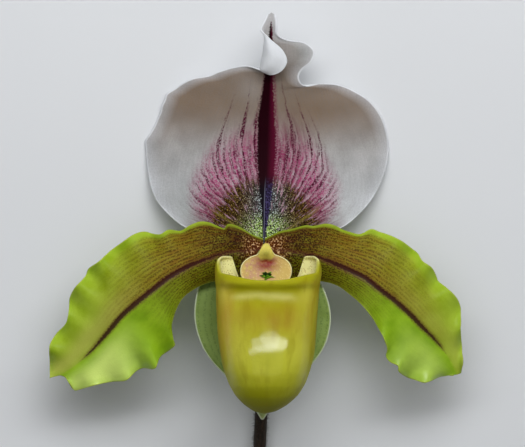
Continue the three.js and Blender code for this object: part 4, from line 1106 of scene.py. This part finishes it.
def staminode(around=120, count=40):
    angle = np.linspace(0, 2 * np.pi, around, endpoint=False)
    edge_x = SHIELD_HALF_WIDTH * np.cos(angle)
    dome = KNOB_HEIGHT * np.exp(-np.abs(edge_x / KNOB_WIDTH) ** 3)
    upper = SHIELD_RISE * np.abs(np.sin(angle)) ** SHIELD_FULLNESS + dome
    edge_y = np.where(angle < np.pi, upper, SHIELD_DROP * np.sin(angle))
    share = (np.arange(count) + 1)[:, None] / count
    x, y = share * edge_x, share * edge_y
    knob = 2 * hill(np.hypot(x, y - SHIELD_RISE - KNOB_LIFT), 0, KNOB_WIDTH)
    front = SHIELD_DOME * (1 - (x / SHIELD_HALF_WIDTH) ** 2) + knob
    back = 0.5 * (front - SHIELD_THICKNESS) - SHIELD_THICKNESS
    groove = 0.45 * hill(y, 2.35, 0.7) * hill(x, 0, 2.6)
    wart_x, wart_y = (x - WART_PLACE[0]) / WART_SIZE[0], (y - WART_PLACE[1]) / WART_SIZE[1]
    wart_turn = np.arctan2(wart_y, wart_x)
    wart_lobes = 1 + 0.2 * np.sin(5 * wart_turn + 0.6) + 0.15 * np.sin(9 * wart_turn + 2)
    wart_radius = np.hypot(wart_x, wart_y) * wart_lobes
    lumps = 0.22 * np.sin(5.2 * x) * np.sin(6.1 * y + 1)
    wart = soft(wart_radius, 1.15, 0.6) * (0.55 + lumps)
    rolled = 0.25 * hill(share, 0.965, 0.03)
    face = front - groove + wart + rolled + 0 * x
    stack = np.concatenate([np.stack([x, y, back], -1), np.stack([x, y, face], -1)[::-1]]) + SHIELD_CENTRE
    points, faces = rings(stack)
    knob_half_width = np.interp(y, [2.9, 3.7, 6.7], [1.4, 2.0, 1.4])
    marks = {
        "knob": soft(np.abs(x) / knob_half_width, 1.15, 0.8) * soft(y, 2.6, 3.2),
        "spot": 0.5 * hill(x, 0.1, 0.5) * hill(y, 4.5, 0.7),
        "pink": soft(x, 4.5, -0.5) * soft(share, 0.97, 0.8),
        "blush": np.clip(1.1 * hill(x, 0.1, 2.8) * hill(y, 1.9, 1.6), 0, 1),
        "wart": soft(wart_radius, 1.1, 0.85),
        "rim": soft(share + 0 * x, 0.94, 0.975) * soft(y, -4, 0.5) * soft(np.abs(x), 1.2, 2.2),
    }
    flat = {}
    for key, value in marks.items():
        back_and_front = np.concatenate([0 * value, value[::-1]])
        flat[key] = np.r_[back_and_front.ravel(), 0, value[0, 0]]
    return points, faces, flat


make_piece("staminode_tissue", *staminode(), staminode_tissue(), "staminode", "staminode")

# %% [markdown]
# ## Column, stigma and anthers
#
# Behind the shield stands the column, which carries the stigma and a sticky anther on each
# side. They are short, round organs of plain tissue: rods along a curve, and two balls of
# pollen. They only show from the sides.

# %% Column and its organs
def plain_tissue(name, colours, roughness, cell=1.6, coat=0.0):
    """Two colours in blotches of about 2 mm, and a skin with as many cells to a mm as cell says."""
    tree, material = tissue(name)
    place = add(tree, "Attribute", attribute_name="face", out="Vector")
    blotch = add(tree, "TexNoise", Vector=place, Scale=0.5, Detail=3.0, out="Fac")
    cells = add(tree, "TexVoronoi", Vector=place, Scale=cell, out="Distance")
    ground = add(tree, "MixRGB", add(tree, "MapRange", blotch, 0.35, 0.65), *colours)
    bump = add(tree, "Bump", Strength=0.25, Distance=0.0003, Height=cells)
    shader = add(
        tree, "BsdfPrincipled", ground, Roughness=roughness, IOR=CUTICLE_IOR, Normal=bump,
        Coat_Weight=coat, Coat_Roughness=0.2,
    )
    add(tree, "OutputMaterial", shader)
    return material


column_material = plain_tissue("column, smooth pale tissue", ("#b9c06a", "#98a650"), 0.42, coat=0.15)
pollen_material = plain_tissue("anther, sticky pollen", ("#d8b64a", "#b98a2a"), 0.35, cell=4.0, coat=0.4)

COLUMN_PATH = [[0.0, -2.8, -0.05], [0.0, -3.0, 2.6], [0.1, -3.7, 5.4], [0.3, -4.7, 7.9]]
STIGMA_PATH = [[0.2, -6.9, 5.7], [0.2, -7.6, 5.9], [0.2, -8.3, 6.1], [0.2, -9.0, 6.3]]


def column_radius(share, angle):
    return 1.4 + 0.6 * soft(share, 0, 0.7)


def stigma_radius(share, angle):
    return 0.9 + 1.2 * soft(share, 0.2, 0.7)


column_rod = rod(paced(spline(COLUMN_PATH))[0], column_radius, sides=40, steps=30)
make_piece("column_tissue", *rings(column_rod), {}, column_material, "column", "column")
stigma_rod = rod(paced(spline(STIGMA_PATH))[0], stigma_radius, sides=32, steps=16)
make_piece("stigma_tissue", *rings(stigma_rod), {}, column_material, "column", "stigma")

ANTHER_RADII, ANTHER_CENTRE, ANTHER_SPREAD = [1.06, 1.25, 1.5], [0.2, -5.4, 6.4], 3.35
polar = np.linspace(0, np.pi, 20)[1:-1, None]
turn = np.linspace(0, 2 * np.pi, 32, endpoint=False)[None, :]
ball = np.stack([np.sin(polar) * np.cos(turn), np.sin(polar) * np.sin(turn), -np.cos(polar) + 0 * turn], -1)
for side, sign in (("left", -1), ("right", 1)):
    anther = ball * ANTHER_RADII + ANTHER_CENTRE + [sign * ANTHER_SPREAD, 0, 0]
    make_piece(f"anther_{side}_pollen", *rings(anther), {}, pollen_material, "anther", f"anther_{side}")

# %% [markdown]
# ## Ovary, bract and scape
#
# Behind the flower its ovary slopes down to the scape. It has six ribs, for the three seams and
# the three folds of a capsule, and the bract sheathes its foot like a folded leaf. These lie
# level with the ground and don't lean with the face, so they are worked out in the lying frame
# and turned back into face millimetres, which every piece is made in.

# %% Stem curve
STEM = [
    [0.0, -2.4, 16.55], [0.0, -2.8, 14.7], [-0.1, -8.4, 11.8], [-0.2, -16.0, 8.6], [-0.3, -25.0, 5.7],
    [-0.4, -34.0, 4.1], [-0.6, -45.0, 3.2], [-1.4, -62.0, 2.7], [-2.6, -82.0, 2.3], [-3.4, -100.0, 1.95],
    [-3.6, -118.0, 1.6],
]
OVARY_END, SCAPE_START, RIB_HEIGHT = 0.29, 0.293, 0.2
SCAPE_RADIUS, OVARY_RADIUS, OVARY_NECK, OVARY_FOOT = 1.6, 2.9, 1.7, 1.75
# the stem and its hairs end this far above the table
FLOOR_GAP = 0.02
stem, stem_length = paced(spline(STEM))


def to_face(points):
    """Millimetres of the lying frame, without its shift, as face millimetres."""
    x, y, z = np.moveaxis(np.asarray(points, float), -1, 0)
    z = z - FACE_HEIGHT
    c, s = math.cos(FACE_LEAN), math.sin(FACE_LEAN)
    return np.stack([x, y * c - z * s, y * s + z * c], -1)


def ovary_core(t):
    swell = OVARY_NECK + (OVARY_RADIUS - OVARY_NECK) * soft(t, 0.05, 0.5)
    return swell - (OVARY_RADIUS - OVARY_FOOT) * soft(t, 0.55, 1)


def ovary_radius(t, angle):
    return ovary_core(t) + RIB_HEIGHT * np.sin(6 * angle) * np.sin(np.pi * t)


def scape_radius(t, angle):
    return SCAPE_RADIUS - FLOOR_GAP + 0 * t


print(f"stem {stem_length:.0f} mm, of which the ovary is {stem_length * OVARY_END:.0f} mm")

# %% [markdown]
# The scape and the ovary are dark with brown and purple pigment over green, and covered with
# short, stiff hairs. Blender's own hair curves would be lost in an export, so each hair is a
# three-sided cone with its root sunk into the skin, scattered by a seeded draw. About 3 of them
# to a square millimetre already read as down.

# %% Ovary and scape with their hairs
HAIR_LENGTH, HAIR_RADIUS, HAIR_ROOT, HAIR_TILT = (0.5, 1.1), 0.045, 0.1, 0.35


def downy_tissue(name, dark, light):
    tree, material = tissue(name)
    place = add(tree, "Attribute", attribute_name="face", out="Vector")
    run = add(tree, "Mapping", place, Scale=(1.6, 0.25, 1.6))
    streak = add(tree, "TexNoise", Vector=run, Scale=1.0, Detail=3.0, out="Fac")
    grain = add(tree, "TexNoise", Vector=place, Scale=2.5, Detail=1.0, out="Fac")
    ground = add(tree, "MixRGB", add(tree, "MapRange", streak, 0.38, 0.62), dark, light)
    bump = add(tree, "Bump", Strength=0.4, Distance=0.0003, Height=grain)
    shader = add(
        tree, "BsdfPrincipled", ground, Roughness=0.62, IOR=CUTICLE_IOR, Specular_IOR_Level=0.3, Normal=bump,
        Sheen_Weight=0.1, Sheen_Roughness=0.5,
    )
    add(tree, "OutputMaterial", shader)
    return material


def hairs(path, radius, count, seed):
    """Points and faces of three-sided cones, scattered over a rod that has this path and radius."""
    draw = np.random.default_rng(seed)
    t, angle = draw.uniform(0.02, 0.985, count), draw.uniform(0, 2 * np.pi, count)
    ahead = unit(path(np.minimum(t + 0.004, 1)) - path(np.maximum(t - 0.004, 0)))
    outward = outwards(ahead, angle)
    base = path(t) + outward * (radius(t, angle) - HAIR_ROOT)[:, None]
    lean = unit(outward + HAIR_TILT * draw.normal(size=(count, 3)))
    tip = base + lean * (HAIR_ROOT + draw.uniform(*HAIR_LENGTH, count))[:, None]
    other = unit(np.cross(lean, ahead))
    third = np.cross(lean, other)
    turns = [2 * math.pi * corner / 3 for corner in range(3)]
    corners = [base + HAIR_RADIUS * (math.cos(a) * other + math.sin(a) * third) for a in turns]
    points = np.stack([*corners, tip], 1)
    points = points[(points[..., 2] > FLOOR_GAP).all(axis=1)].reshape(-1, 3)
    first = np.arange(0, len(points), 4)[:, None, None]
    faces = (first + np.array([[0, 2, 1], [0, 1, 3], [1, 2, 3], [2, 0, 3]])[None]).reshape(-1, 3)
    return points, faces.tolist()


def downy(organ, path, radius, sides, steps, count, seed, material):
    """A rod with hairs, which takes the place of the node named after the organ."""
    points, faces = rings(rod(path, radius, sides, steps))
    hair_points, hair_faces = hairs(path, radius, count, seed)
    faces += [[i + len(points) for i in face] for face in hair_faces]
    points = to_face(np.concatenate([points, hair_points]))
    make_piece(f"{organ}_tissue", points, faces, {}, material, organ, organ)


def part_of(start, end):
    """The stretch of the stem between two shares, as a path of its own."""
    return lambda share: stem(start + (end - start) * np.asarray(share))


downy(
    "ovary", part_of(0, OVARY_END), ovary_radius, sides=72, steps=90, count=1400, seed=11,
    material=downy_tissue("ovary, downy ribbed tissue", "#4c4a22", "#6d5a34"),
)
downy(
    "scape", part_of(SCAPE_START, 1), scape_radius, sides=40, steps=120, count=3000, seed=12,
    material=downy_tissue("scape, downy stem tissue", "#1e140c", "#38281a"),
)

# %% [markdown]
# The bract is a blade again, wrapped round the stem's curve. It is green with paler blotches,
# and its tip stands off a little.

# %% Bract
BRACT_FROM, BRACT_TO, BRACT_WRAP, BRACT_NARROWING, BRACT_TIP = 0.305, 0.1, 2.2, 0.3, 0.97
BRACT_CLEARANCE, BRACT_FLARE, BRACT_THICKNESS = 0.3, 1.2, 0.7


def bract(across=56, along=60):
    u, v = np.meshgrid(np.linspace(-1, 1, across + 1), np.linspace(0, 1, along + 1))
    share = BRACT_FROM + (BRACT_TO - BRACT_FROM) * v[:, 0]
    ahead = stem(share + 0.002) - stem(share - 0.002)
    down = unit(np.stack([0 * share, -ahead[:, 2], ahead[:, 1]], -1))
    core = ovary_core(np.clip(share / OVARY_END, 0, 1))[:, None] + RIB_HEIGHT * soft(v, 0, 0.3)
    radius = core + BRACT_CLEARANCE + BRACT_THICKNESS / 2 + BRACT_FLARE * v**2
    angle = u * BRACT_WRAP * (1 - BRACT_NARROWING * v) * np.sqrt(1 - (BRACT_TIP * v) ** 3)
    middle = stem(share)[:, None] + down[:, None] * (radius * np.cos(angle))[..., None]
    middle[..., 0] += radius * np.sin(angle)
    edge = (1 - np.abs(u)) * radius * np.abs(angle[:, -1:])
    return blade(to_face(middle), thinned(BRACT_THICKNESS, edge, 2), {})


bract_material = plain_tissue("bract, leafy tissue", ("#6f8a3e", "#8fa057"), 0.5, cell=2.2)
make_piece("bract_tissue", *bract(), bract_material, "bract", "bract")

# %% [markdown]
# ## Floor and lights
#
# The bloom lies on a plain pale table. Three panels stand together over the dorsal sepal's side:
# a long strip, a wide oval over it and a small one on top. On wax they make one peaked highlight,
# as a window with a curtain drawn aside does. The strip and the wide oval are turned a little,
# so that the highlight slopes across the pouch. A wide panel above the camera fills the shadows.

# %% Floor and lights
FLOOR_SIZE = 4
POUCH_FRONT, FLOWER_CENTRE = [0, -20, 20], [0, 0, 0]
WINDOW_WHITE = "#fafcff"

floor_tree, floor_material = tissue("table, matt pale board")
fine = add(floor_tree, "TexNoise", Scale=40.0, Detail=2.0, out="Fac")
board = add(floor_tree, "MixRGB", fine, "#e8e9ea", "#eeeff0")
add(floor_tree, "OutputMaterial", add(floor_tree, "BsdfPrincipled", board, Roughness=0.9))
bpy.ops.mesh.primitive_plane_add(size=FLOOR_SIZE, location=(0, 0, 0))
floor = bpy.context.object
floor.name = "table"
floor.data.materials.append(floor_material)


def softbox(name, place, target, size, power, colour, shape="RECTANGLE", turn=0.0):
    """An area light at one face point, aimed at another. Its size is in metres, its turn in degrees."""
    data = bpy.data.lights.new(name, "AREA")
    data.shape, data.size, data.size_y = shape, *size
    data.energy, data.color = power, paint(colour)[:3]
    light = bpy.data.objects.new(name, data)
    start, end = lying(place), lying(target)
    light.location = start
    aim = mathutils.Vector(end - start).to_track_quat("-Z", "Y")
    light.rotation_euler = (aim @ mathutils.Quaternion((0, 0, 1), math.radians(turn))).to_euler()
    bpy.context.scene.collection.objects.link(light)


softbox("key", [10, 250, 582], POUCH_FRONT, (1.0, 0.08), 1.2, WINDOW_WHITE, turn=9)
softbox("key middle", [60, 288, 561], POUCH_FRONT, (0.8, 0.19), 1.5, WINDOW_WHITE, "ELLIPSE", turn=8)
softbox("key top", [60, 346, 528], POUCH_FRONT, (0.34, 0.22), 0.8, WINDOW_WHITE, "ELLIPSE")
softbox("fill", [0, 0, 1100], FLOWER_CENTRE, (1.4, 1.4), 2.1, "#fbfcff")
world = bpy.data.worlds.new("room")
world.use_nodes = True
world.node_tree.nodes["Background"].inputs["Color"].default_value = paint("#eef0f2")
world.node_tree.nodes["Background"].inputs["Strength"].default_value = 0.15
bpy.context.scene.world = world
bpy.context.scene.view_settings.view_transform = "Standard"
